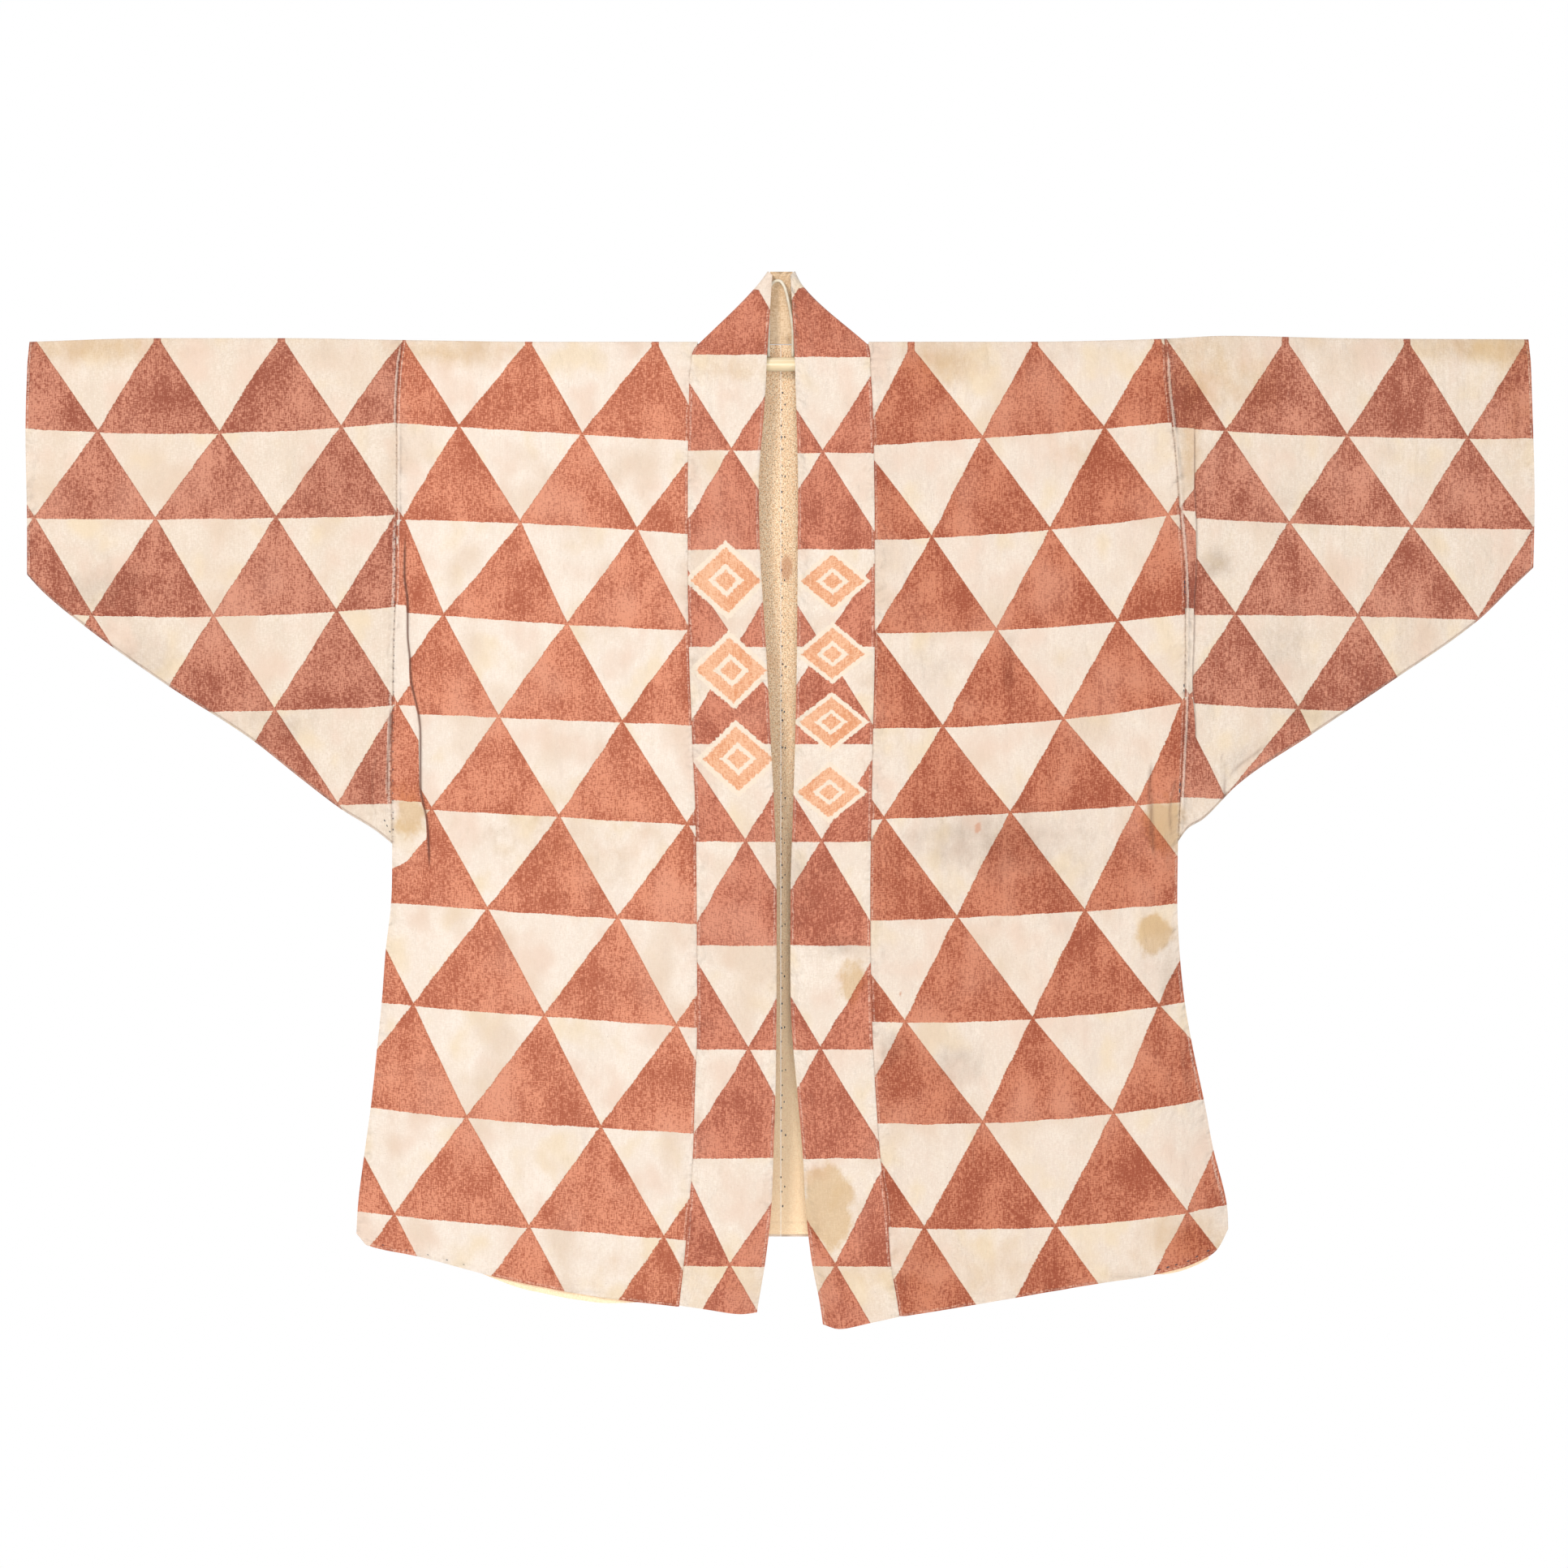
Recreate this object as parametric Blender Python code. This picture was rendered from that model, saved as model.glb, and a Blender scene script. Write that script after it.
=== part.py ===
"""A lined happi coat hung on a plain rod with a wire loop.

The coat is cut from straight loom widths: two body lengths that run from the front hem over
the shoulder to the back hem, two folded sleeves, and one long collar band. Each cloth is a
closed wall. All sizes below are in millimetres, x to the wearer's left, z up, and the front
faces -y. The origin is the inside top of the wire loop.
"""

import math
from collections import namedtuple

import bpy
import numpy as np

MM = 0.001

# Walls and gaps
CLOTH = 1.6
BAND = 2.4
LINING = 1.0
GAP = 0.3
PRESSED = CLOTH + GAP / 2

# The hanger
ROD_RADIUS = 5.85
ROD_Z = -69.0
ROD_HALF_LENGTH = 600.0
ROD_SIDES = 24
ROD_END_ROUND = 1.2
WIRE_RADIUS = 1.3
WIRE_SIDES = 8

# The pressed fold at the shoulder, like a narrow roof over the rod
NOSE_RADIUS = 2.3
FRONT_PITCH = math.radians(20)
BACK_PITCH = math.radians(25)
ROOF_BLEND = 1.4
CLOSING = 65.0
SLANT = 0.8
SEAM_NOSE = 1.9
NECK_DEPTH = 6.3
NECK_SPREAD = 35.0
ROD_DEPTH_BELOW_FOLD = 19.0
ROD_CLEARANCE = 6.0
ROD_EASE = 30.0
WIRE_FOOT_GAP = 0.4
BAND_PROUD = 0.7
UNDERARM_REACH = 12.0

# Heights at which a column's place on the fold and on the hem is read
FOLD_Z = -50.0
SLEEVE_FOLD_Z = -48.0
HEM_Z = -830.0
SIDE_HEM_Z = -800.0
SIDE_SHARE = 0.1

Depth = namedtuple("Depth", "drop front back")
OPEN_DEPTH = [
    Depth(0, 8.6, 9.9),
    Depth(20, 8.6, 9.9),
    Depth(150, 9.2, 10.4),
    Depth(420, 11.0, 12.0),
    Depth(820, 13.0, 14.0),
]

Point = namedtuple("Point", "x z")
SHOULDER = [
    Point(-631, -50),
    Point(-524, -47),
    Point(-418, -47),
    Point(-320, -48.5),
    Point(-200, -50),
    Point(200, -50),
    Point(321, -47.5),
    Point(375, -45),
    Point(470, -47),
    Point(626, -48),
]

Sides = namedtuple("Sides", "z right left")
ARMHOLE = [
    Sides(-473, -326.3, 333.5),
    Sides(-434, -326.3, 335),
    Sides(-403, -326, 336.5),
    Sides(-356, -325, 338.5),
    Sides(-299, -324, 339),
    Sides(-240, -322, 338),
    Sides(-204, -322, 335),
    Sides(-147, -322, 331),
    Sides(-89, -321, 324),
    Sides(-45, -317, 322),
]
SIDE_SEAM = [
    Sides(-800, -356.5, 376),
    Sides(-774, -355, 374.5),
    Sides(-727, -349, 363),
    Sides(-690, -344, 356),
    Sides(-643, -339, 346),
    Sides(-603, -335, 339),
    Sides(-563, -332, 335),
    Sides(-520, -327.2, 333),
    Sides(-473, -326.3, 333.5),
]
CUFF = [
    Sides(-246, -633, 632),
    Sides(-196, -632, 632),
    Sides(-131, -633, 631),
    Sides(-50, -631, 628),
]
UNDERARM_Z = {"right": -473.0, "left": -471.0}
SLEEVE_SEAM = {
    "right": [
        Point(-633, -246),
        Point(-620, -260),
        Point(-581, -292),
        Point(-518, -337),
        Point(-445, -384),
        Point(-402, -418),
        Point(-369, -443),
        Point(-340, -461),
        Point(-325, -473),
    ],
    "left": [
        Point(333, -471),
        Point(341, -460),
        Point(355, -451),
        Point(384, -422),
        Point(446, -380),
        Point(515, -334),
        Point(586, -284),
        Point(614, -257),
        Point(632, -240),
    ],
}
FRONT_HEM = {
    "right": [
        Point(-356.5, -799),
        Point(-349, -808),
        Point(-339, -811),
        Point(-305, -817),
        Point(-240, -834),
        Point(-182, -846),
        Point(-137, -853),
        Point(-84, -859),
    ],
    "left": [
        Point(98, -867),
        Point(125, -863),
        Point(199, -851),
        Point(265, -840),
        Point(315, -832),
        Point(354, -820),
        Point(367, -811),
        Point(376, -795),
    ],
}
BACK_HEM = [
    Point(-356.5, -799),
    Point(-347, -806),
    Point(-250, -806),
    Point(-120, -804),
    Point(0, -803),
    Point(130, -805),
    Point(260, -808),
    Point(364, -811),
    Point(376, -795),
]

Band = namedtuple("Band", "z right_seam right_edge left_edge left_seam")
COLLAR = [
    Band(-880, -87, -22, 36, 101),
    Band(-858, -85, -19, 33, 98),
    Band(-822, -81, -13, 26, 92),
    Band(-778, -77, -8, 21, 89),
    Band(-740, -74, -6.5, 19, 84),
    Band(-681, -72, -4.5, 14, 79.5),
    Band(-622, -70, -3.7, 9, 76.5),
    Band(-518, -70.5, -3.5, 8.2, 75),
    Band(-445, -71.5, -5.4, 10.2, 76),
    Band(-388, -74, -8.3, 12, 77),
    Band(-307, -77, -12.5, 13.6, 78.7),
    Band(-225, -78, -17.5, 14.2, 78.7),
    Band(-173, -78, -18.5, 14.5, 78.5),
    Band(-105, -77, -13.8, 13, 77),
    Band(-69, -75.5, -12, 12, 75),
    Band(-57, -73, -12, 12, 74.5),
    Band(-50, -67.5, -12, 12, 72.5),
]
# The 45-degree fold at each shoulder, from the neck seam (across 0) to the free edge (1)
Fold45 = namedtuple("Fold45", "across right_x left_x z")
PEAK = [
    Fold45(0.0, -69.4, 72.9, -52.5),
    Fold45(0.85, -19.5, 18, -2),
    Fold45(1.0, -11, 12, 9.3),
]
BandEnd = namedtuple("BandEnd", "across right_z left_z")
COLLAR_HEM = [
    BandEnd(0.0, -858, -867.5),
    BandEnd(0.4, -862, -873),
    BandEnd(0.8, -865.5, -878),
    BandEnd(1.0, -864, -874),
]
NECK_SEAM_Z = -51.6
NECK_POINT = {"right": -69.8, "left": 73.9}
BAND_TOP_Z = 9.3
PEAK_SEAM_RADIUS = 3.2
PEAK_EDGE_RADIUS = 5.4
PEAK_SHIFT = 0.9
PEAK_STEP = 2.0

# Folds: a soft ridge (or trough, where rise is negative) along a line on the cloth
Crease = namedtuple("Crease", "x_top z_top x_low z_low width rise")
FRONT_CREASES = [
    Crease(-318, -150, -311, -330, 8, 3.6),
    Crease(-316, -290, -306, -500, 11, 4.4),
    Crease(-300, -250, -286, -470, 9, -1.6),
    Crease(-336, -300, -341, -440, 7, 2.0),
    Crease(-205, -250, -190, -840, 34, 2.2),
    Crease(-120, -90, -128, -560, 26, -1.6),
    Crease(-262, -500, -292, -820, 30, 2.8),
    Crease(-150, -560, -150, -860, 24, -2.4),
    Crease(-470, -70, -455, -360, 38, 1.6),
    Crease(-560, -90, -590, -270, 30, -1.5),
    Crease(337, -120, 342, -400, 6, 1.3),
    Crease(318, -370, 327, -520, 11, 4.6),
    Crease(344, -420, 392, -380, 10, 3.4),
    Crease(352, -360, 420, -330, 12, -1.6),
    Crease(214, -220, 236, -840, 36, 2.4),
    Crease(128, -90, 132, -520, 24, -1.5),
    Crease(296, -520, 326, -820, 26, 2.8),
    Crease(170, -580, 176, -860, 26, -2.4),
    Crease(486, -70, 470, -350, 36, 1.6),
    Crease(575, -90, 604, -250, 28, -1.4),
]
BACK_CREASES = [
    Crease(-312, -170, -304, -500, 11, 3.8),
    Crease(-232, -230, -246, -790, 34, 2.4),
    Crease(-140, -110, -128, -620, 28, -1.8),
    Crease(-60, -420, -52, -800, 26, 2.0),
    Crease(-300, -560, -316, -790, 24, 2.4),
    Crease(-505, -80, -480, -340, 36, 1.5),
    Crease(316, -200, 322, -510, 12, 3.8),
    Crease(238, -240, 256, -790, 34, 2.2),
    Crease(122, -120, 136, -640, 30, -1.8),
    Crease(66, -440, 58, -800, 28, 1.8),
    Crease(310, -560, 334, -790, 26, 2.6),
    Crease(520, -80, 500, -330, 34, 1.5),
]
CREASE_TAPER = 0.22
CREASE_EDGE_FADE = 10.0

# Where the front lining drops below the right hem and shows beside the left one
LINING_SHORT = 2.0
LINING_SHOWS = {"right": (-185.0, 62.0, 7.4), "left": (342.0, 30.0, 4.6)}

# Rows and columns of the cloth grids
NOSE_ANGLES = (68, 38, 0)
ROOF_DROPS = (7.0, 13.0, 20.0, 32.0)
BODY_ROWS = 15
BODY_COLUMNS = (0, 0.022, 0.05, 0.08, 0.12, 0.19, 0.29, 0.4, 0.52, 0.64, 0.76, 0.88, 1.0)
NECK_COLUMNS = (0.2, 0.5, 0.8, 1.0)
SLEEVE_ROWS = 8
SLEEVE_COLUMNS = (0, 0.035, 0.075, 0.14, 0.24, 0.36, 0.48, 0.6, 0.72, 0.86, 1.0)
BAND_COLUMNS = (0, 0.28, 0.56, 0.85, 1.0)
FOLD_ANGLES = (0, 45, 90, 135, 180)
UNDER_ANGLES = (40, 90, 140)

# The band between the front and the 45-degree fold, and from there to the middle of the back
PEAK_START = 0.15
BACK_PARTS = (0.33, 0.66, 1.0)
BACK_RISE = 1.6
BACK_INSET = 2.0
NECK_SEAM_TILT = 0.2

LINING_FIRST_COLUMN = 2
LINING_DROP = 13.0

Finish = namedtuple("Finish", "colour roughness")
FINISHES = {
    "cotton": Finish((0.90, 0.77, 0.66), 0.9),
    "dyed_band": Finish((0.48, 0.12, 0.08), 0.9),
    "lining": Finish((0.74, 0.56, 0.34), 0.95),
    "ivory": Finish((0.91, 0.78, 0.47), 0.4),
    "coated_wire": Finish((0.90, 0.88, 0.82), 0.35),
}
SHARP_ANGLE = math.radians(50)


def smooth(t):
    t = np.clip(t, 0.0, 1.0)
    return t * t * (3 - 2 * t)


def curve(at, rows, key, value):
    """A smooth curve through one column of a table, read against another column."""
    keys = np.array([getattr(row, key) for row in rows], float)
    values = np.array([getattr(row, value) for row in rows], float)
    slopes = np.diff(values) / np.diff(keys)
    tangents = np.concatenate([slopes[:1], (slopes[1:] + slopes[:-1]) / 2, slopes[-1:]])
    turns = slopes[1:] * slopes[:-1] <= 0
    tangents[1:-1][turns] = 0
    at = np.clip(np.asarray(at, float), keys[0], keys[-1])
    i = np.clip(np.searchsorted(keys, at) - 1, 0, len(keys) - 2)
    step = keys[i + 1] - keys[i]
    t = (at - keys[i]) / step
    return (
        values[i] * (1 + 2 * t) * (1 - t) ** 2
        + values[i + 1] * t * t * (3 - 2 * t)
        + step * (tangents[i] * t * (1 - t) ** 2 - tangents[i + 1] * t * t * (1 - t))
    )


def sign(side):
    return -1.0 if side == "right" else 1.0


def fold_height(x):
    return curve(x, SHOULDER, "x", "z")


def armhole(side, z):
    return curve(z, ARMHOLE, "z", side)


def outer_edge(side, z):
    """The body's outer edge: the armhole above the underarm, the side seam below."""
    side_seam = curve(z, SIDE_SEAM, "z", side)
    return np.where(z > SIDE_SEAM[-1].z, armhole(side, z), side_seam)


def creases(rows, x, z):
    """What the folds add to the depth at a point."""
    total = np.zeros(np.broadcast(x, z).shape)
    for row in rows:
        along = np.array([row.x_low - row.x_top, row.z_low - row.z_top], float)
        length = math.hypot(*along)
        along /= length
        t = ((x - row.x_top) * along[0] + (z - row.z_top) * along[1]) / length
        across = (x - row.x_top) * along[1] - (z - row.z_top) * along[0]
        ends = smooth(t / CREASE_TAPER) * smooth((1 - t) / CREASE_TAPER)
        total += row.rise * ends * np.exp(-((across / row.width) ** 2))
    return total


def from_closed_edge(side, x, z):
    """How far a point is from the seam where front and back lie together."""
    s = sign(side)
    seam = curve(x, SLEEVE_SEAM[side], "x", "z")
    on_sleeve = s * x > s * armhole(side, z)
    inward = np.maximum(s * (outer_edge(side, z) - x), 0)
    above = np.maximum(SLANT * (z - UNDERARM_Z[side]), 0)
    at_sleeve = on_sleeve & (z > UNDERARM_Z[side] - UNDERARM_REACH)
    return np.where(at_sleeve, SLANT * (z - seam), np.hypot(inward, above))


def depth(face, side, x, z):
    """How far the outer face of the cloth lies from the middle plane, below the fold."""
    x, z = np.broadcast_arrays(np.asarray(x, float), np.asarray(z, float))
    drop = np.maximum(fold_height(x) - z, 0)
    pitch = FRONT_PITCH if face == "front" else BACK_PITCH
    start = NOSE_RADIUS * (1 - math.sin(pitch))
    roof = NOSE_RADIUS * math.cos(pitch) + (drop - start) * math.tan(pitch)
    open_depth = curve(drop, OPEN_DEPTH, "drop", face)
    between = np.clip(0.5 + (open_depth - roof) / (2 * ROOF_BLEND), 0, 1)
    body = open_depth * (1 - between) + roof * between - ROOF_BLEND * between * (1 - between) / 2
    if face == "back":
        level = curve(ROD_DEPTH_BELOW_FOLD, OPEN_DEPTH, "drop", "back")
        rise = np.clip(drop / ROD_DEPTH_BELOW_FOLD, 0, 1)
        upright = NECK_DEPTH + (level - NECK_DEPTH) * rise
        neck = smooth((abs(NECK_POINT[side]) - np.abs(x)) / NECK_SPREAD)
        body = np.where(drop < ROD_DEPTH_BELOW_FOLD, body + (upright - body) * neck, body)
    edge = np.maximum(from_closed_edge(side, x, z), 0)
    opened = 1 - (1 - np.clip(edge / CLOSING, 0, 1)) ** 2
    rows = FRONT_CREASES if face == "front" else BACK_CREASES
    clear_of_rod = smooth((drop - ROD_DEPTH_BELOW_FOLD - ROD_CLEARANCE) / ROD_EASE)
    fold = creases(rows, x, z) * np.clip(edge / CREASE_EDGE_FADE, 0, 1) * clear_of_rod
    return PRESSED + np.maximum((body - PRESSED) * opened + fold, 0.0)


def shell(outer, thickness, cells=None, closed=False):
    """The same grid of points, moved in by a thickness.

    The grid runs along its first axis across the fold, and its points move in the plane of
    y and z, so that edges which meet another piece keep their place along x.
    """
    ahead = np.roll(outer, -1, 0) if closed else np.concatenate([outer[1:], outer[-1:]])
    behind = np.roll(outer, 1, 0) if closed else np.concatenate([outer[:1], outer[:-1]])
    step = (ahead - behind)[..., 1:]
    if cells is not None:
        used = np.zeros(outer.shape[:2], bool)
        for i, j in cells:
            used[i : i + 2, j : j + 2] = True
        lone = used & ~np.concatenate([np.zeros((1, used.shape[1]), bool), used[:-1]])
        step[lone] = (ahead - outer)[..., 1:][lone]
    step /= np.linalg.norm(step, axis=-1, keepdims=True)
    normal = np.stack([np.zeros(step.shape[:2]), -step[..., 1], step[..., 0]], -1)
    return outer - normal * thickness


def solid(name, outer, inner, material, cells=None, closed=False):
    """One closed object from two grids of points that face each other."""
    rows, columns = outer.shape[:2]
    if cells is None:
        cells = [(i, j) for i in range(rows if closed else rows - 1) for j in range(columns - 1)]
    count = rows * columns
    points = np.concatenate([outer.reshape(-1, 3), inner.reshape(-1, 3)]) * MM
    faces, edges = [], {}
    for i, j in cells:
        i2 = (i + 1) % rows
        quad = [i * columns + j, i * columns + j + 1, i2 * columns + j + 1, i2 * columns + j]
        for corners in (quad[:3], [quad[0], quad[2], quad[3]]):
            faces.append(corners)
            faces.append([k + count for k in reversed(corners)])
        for a, b in zip(quad, quad[1:] + quad[:1]):
            edges[(a, b)] = (b, a)
    for (a, b), turned in edges.items():
        if turned not in edges:
            faces.append([b, a, a + count, b + count])
    used = sorted({k for face in faces for k in face})
    place = {k: n for n, k in enumerate(used)}
    faces = [[place[k] for k in face] for face in faces]
    add_object(name, points[used].tolist(), faces, material)


def add_object(name, points, faces, material):
    mesh = bpy.data.meshes.new(name)
    mesh.from_pydata(points, [], faces)
    mesh.validate()
    mesh.shade_smooth()
    mesh.set_sharp_from_angle(angle=SHARP_ANGLE)
    mesh.materials.append(material)
    thing = bpy.data.objects.new(name, mesh)
    bpy.context.collection.objects.link(thing)


def make_material(name):
    material = bpy.data.materials.new(name)
    material.use_nodes = True
    shader = material.node_tree.nodes["Principled BSDF"]
    shader.inputs["Base Color"].default_value = (*FINISHES[name].colour, 1)
    shader.inputs["Roughness"].default_value = FINISHES[name].roughness
    return material


def fold_rows(x_at, fold_x, low_z, side, face, rows):
    """The points of one column from the fold down to the hem, on the front or the back."""
    top = float(fold_height(fold_x))
    first = top - ROOF_DROPS[-1]
    zs = [top - drop for drop in ROOF_DROPS]
    zs += [first + (low_z - first) * k / rows for k in range(1, rows + 1)]
    column = []
    for z in zs:
        x = x_at(z)
        out = float(depth(face, side, x, z))
        column.append((x, -out if face == "front" else out, z))
    return column


def nose(x):
    """The rounded fold: points from the front round to the back."""
    top = float(fold_height(x))
    turns = [-a for a in NOSE_ANGLES] + list(reversed(NOSE_ANGLES))[1:]
    points = []
    for turn in turns:
        angle = math.radians(turn)
        points.append((x, NOSE_RADIUS * math.sin(angle), top - NOSE_RADIUS * (1 - math.cos(angle))))
    return points


def body(side, material):
    """One body length: front hem, over the shoulder, back hem."""
    s = sign(side)
    seam = side + "_seam"

    def edge_x(z):
        return float(outer_edge(side, z)) - s * GAP / 2

    def front_x(share):
        def at(z):
            inner = float(curve(z, COLLAR, "z", seam)) + s * GAP / 2
            return edge_x(z) + (inner - edge_x(z)) * share

        return at

    def back_x(share):
        def at(z):
            neck = NECK_POINT[side]
            if share <= 1:
                return edge_x(z) + (neck - edge_x(z)) * share
            return neck + (s * GAP / 2 - neck) * (share - 1)

        return at

    shares = list(BODY_COLUMNS) + [1 + k for k in NECK_COLUMNS]
    columns = []
    for share in shares:
        front_at, back_at = front_x(min(share, 1)), back_x(share)
        fold_x = back_at(fold_height(back_at(FOLD_Z)))
        hem_x = front_at(HEM_Z if share > SIDE_SHARE else SIDE_HEM_Z)
        front_low = float(curve(hem_x, FRONT_HEM[side], "x", "z"))
        back_low = float(curve(back_at(SIDE_HEM_Z), BACK_HEM, "x", "z"))
        front = fold_rows(front_at, fold_x, front_low, side, "front", BODY_ROWS)
        back = fold_rows(back_at, fold_x, back_low, side, "back", BODY_ROWS)
        ridge = nose(fold_x)
        if share > 1:
            z = NECK_SEAM_Z - GAP
            ridge[-1] = (back_at(z), float(depth("back", side, back_at(z), z)), z)
        columns.append(list(reversed(front)) + ridge + back)
    outer = np.array(columns).transpose(1, 0, 2)
    rows = outer.shape[0]
    front_and_fold = BODY_ROWS + len(ROOF_DROPS) + 2 * len(NOSE_ANGLES) - 2
    last = len(BODY_COLUMNS) - 1
    cells = [
        (i, j)
        for i in range(rows - 1)
        for j in range(len(shares) - 1)
        if j < last or i >= front_and_fold
    ]
    place_wall("body_" + side, side, outer, (0, CLOTH), material, cells)
    return outer


def place_wall(name, side, grid, depths, material, cells):
    """A wall between two depths below the face that a grid of points gives."""
    near = shell(grid, depths[0], cells)
    far = shell(grid, depths[1], cells)
    if side == "left":
        near, far, cells = mirror_grid(near, far, cells)
    solid(name, near, far, material, cells)


def mirror_grid(outer, inner, cells):
    """Runs the columns the other way, so that the faces of the left side point out too."""
    last = outer.shape[1] - 2
    return outer[:, ::-1], inner[:, ::-1], [(i, last - j) for i, j in cells]


def sleeve(side, material):
    """One sleeve: a tube folded at the top, sewn along its slanted lower edge."""
    s = sign(side)
    columns = []
    arm_x = float(armhole(side, UNDERARM_Z[side]))
    cuff_x = SLEEVE_SEAM[side][0 if side == "right" else -1].x
    for share in SLEEVE_COLUMNS:

        def x_at(z, share=share):
            start = float(armhole(side, z)) + s * GAP / 2
            return start + (float(curve(z, CUFF, "z", side)) - start) * share

        low_x = arm_x + (cuff_x - arm_x) * share
        flank_end = float(curve(low_x, SLEEVE_SEAM[side], "x", "z")) + SEAM_NOSE
        fold_x = x_at(SLEEVE_FOLD_Z)
        front, back = [
            fold_rows(x_at, fold_x, flank_end, side, face, SLEEVE_ROWS) for face in ("front", "back")
        ]
        front_out, back_out = -front[-1][1], back[-1][1]
        middle, reach = (back_out - front_out) / 2, (back_out + front_out) / 2
        under = []
        for turn in UNDER_ANGLES:
            angle = math.radians(turn)
            z = flank_end - SEAM_NOSE * math.sin(angle)
            under.append((x_at(z), middle + reach * math.cos(angle), z))
        columns.append(list(reversed(front)) + nose(fold_x) + back + under)
    outer = np.array(columns).transpose(1, 0, 2)
    inner = shell(outer, CLOTH, closed=True)
    if side == "right":
        outer, inner, _ = mirror_grid(outer, inner, [])
    solid("sleeve_" + side, outer, inner, material, closed=True)


def band_half(side):
    """The collar band from its hem up one front and round the 45-degree fold, to the back."""
    s = sign(side)
    rows = []

    def across(z, share):
        seam = float(curve(z, COLLAR, "z", side + "_seam")) - s * GAP / 2
        edge = float(curve(z, COLLAR, "z", side + "_edge"))
        return seam + (edge - seam) * share

    def front_y(x, z):
        return -float(depth("front", side, x, z)) - BAND_PROUD

    fold_z = float(fold_height(NECK_POINT[side]))
    lows = [float(curve(share, COLLAR_HEM, "across", side + "_z")) for share in BAND_COLUMNS]
    levels = [
        [low + (fold_z - ROOF_DROPS[-1] - low) * k / BODY_ROWS for low in lows]
        for k in range(BODY_ROWS + 1)
    ]
    levels.append([fold_z - ROOF_DROPS[-2]] * len(lows))
    for zs in levels:
        xs = [across(z, share) for z, share in zip(zs, BAND_COLUMNS)]
        rows.append([(x, front_y(x, z), z) for x, z in zip(xs, zs)])
    straight = rows[-1]
    crease = [
        (
            float(curve(share, PEAK, "across", side + "_x")),
            float(curve(share, PEAK, "across", "z")),
            PEAK_SEAM_RADIUS + (PEAK_EDGE_RADIUS - PEAK_SEAM_RADIUS) * share,
            PEAK_SHIFT * share,
        )
        for share in BAND_COLUMNS
    ]
    lean = math.sqrt(0.5)
    turn_rows = []
    for angle in FOLD_ANGLES:
        reach = math.sin(math.radians(angle))
        row = []
        for share, (x, z, radius, shift) in zip(BAND_COLUMNS, crease):
            out = lean * radius * (reach - 1) * share
            step = PEAK_STEP * (1 - share) * angle / 180
            y = shift - radius * math.cos(math.radians(angle))
            row.append((x + s * (out - step), y, z + out + step))
        turn_rows.append(row)
    for drop in reversed(ROOF_DROPS[:-2]):
        part = (ROOF_DROPS[-2] - drop) / (PEAK[0].z - straight[0][2])
        row = []
        for share, low, high in zip(BAND_COLUMNS, straight, turn_rows[0]):
            y = low[1] + (high[1] - low[1]) * float(smooth((part - PEAK_START) / (1 - PEAK_START)))
            z = low[2] + (high[2] - low[2]) * part
            on_seam = across(z, 0.0) - straight[0][0] - (turn_rows[0][0][0] - straight[0][0]) * part
            x = low[0] + (high[0] - low[0]) * part + on_seam * (1 - share) ** 2
            row.append((x, y, z))
        rows.append(row)
    rows += turn_rows
    upright_x = crease[-1][0] - s * BACK_INSET
    for part in BACK_PARTS:
        row = []
        for share, low in zip(BAND_COLUMNS, turn_rows[-1]):
            upright_z = NECK_SEAM_Z + (BAND_TOP_Z - NECK_SEAM_Z) * share
            x = low[0] + (upright_x - low[0]) * part
            z = low[2] + (upright_z - low[2]) * float(smooth(part * BACK_RISE))
            seam_y = float(depth("back", side, x, NECK_SEAM_Z - GAP))
            y = seam_y + (PEAK_EDGE_RADIUS + PEAK_SHIFT - seam_y) * share
            row.append((x, y, z))
        rows.append(row)
    return rows


def collar(material):
    """The one band: up the right front, round the neck and down the left front."""
    right, left = band_half("right"), band_half("left")
    outer = np.array(right + list(reversed(left)))
    along = np.gradient(outer, axis=0)
    across = np.gradient(outer, axis=1)
    normal = np.cross(across, along)
    normal /= np.linalg.norm(normal, axis=-1, keepdims=True)
    flat = len(right) - len(FOLD_ANGLES) - len(BACK_PARTS)
    for rows in (slice(0, flat), slice(-flat, None)):
        normal[rows, :, 0] = 0
    normal[flat:-flat, 0, 2] *= NECK_SEAM_TILT
    normal /= np.linalg.norm(normal, axis=-1, keepdims=True)
    inner = outer - normal * BAND
    solid("collar", outer, inner, material)


def lining(face, side, grid, material):
    """A thin lining just inside the front or the back, from the points of the wall."""
    grid = grid.copy()
    front_rows = BODY_ROWS + len(ROOF_DROPS)
    ridge_end = front_rows + 2 * len(NOSE_ANGLES) - 2
    last = len(BODY_COLUMNS) - 1
    columns = range(LINING_FIRST_COLUMN, grid.shape[1] - 1)
    if face == "front":
        centre, spread, fall = LINING_SHOWS[side]
        shows = fall * np.exp(-(((grid[0, :, 0] - centre) / spread) ** 4))
        grid[0, :, 2] += LINING_SHORT - shows
        cells = [(i, j) for i in range(BODY_ROWS) for j in columns if j < last]
    else:
        grid[-1, :, 2] += LINING_SHORT
        below_fold = ridge_end + ROOF_DROPS.index(LINING_DROP) + 1
        cells = [
            (i, j)
            for i in range(ridge_end, grid.shape[0] - 1)
            for j in columns
            if j >= last or i >= below_fold
        ]
    depths = (CLOTH + GAP, CLOTH + GAP + LINING)
    place_wall("lining_" + face + "_" + side, side, grid, depths, material, cells)


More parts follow.
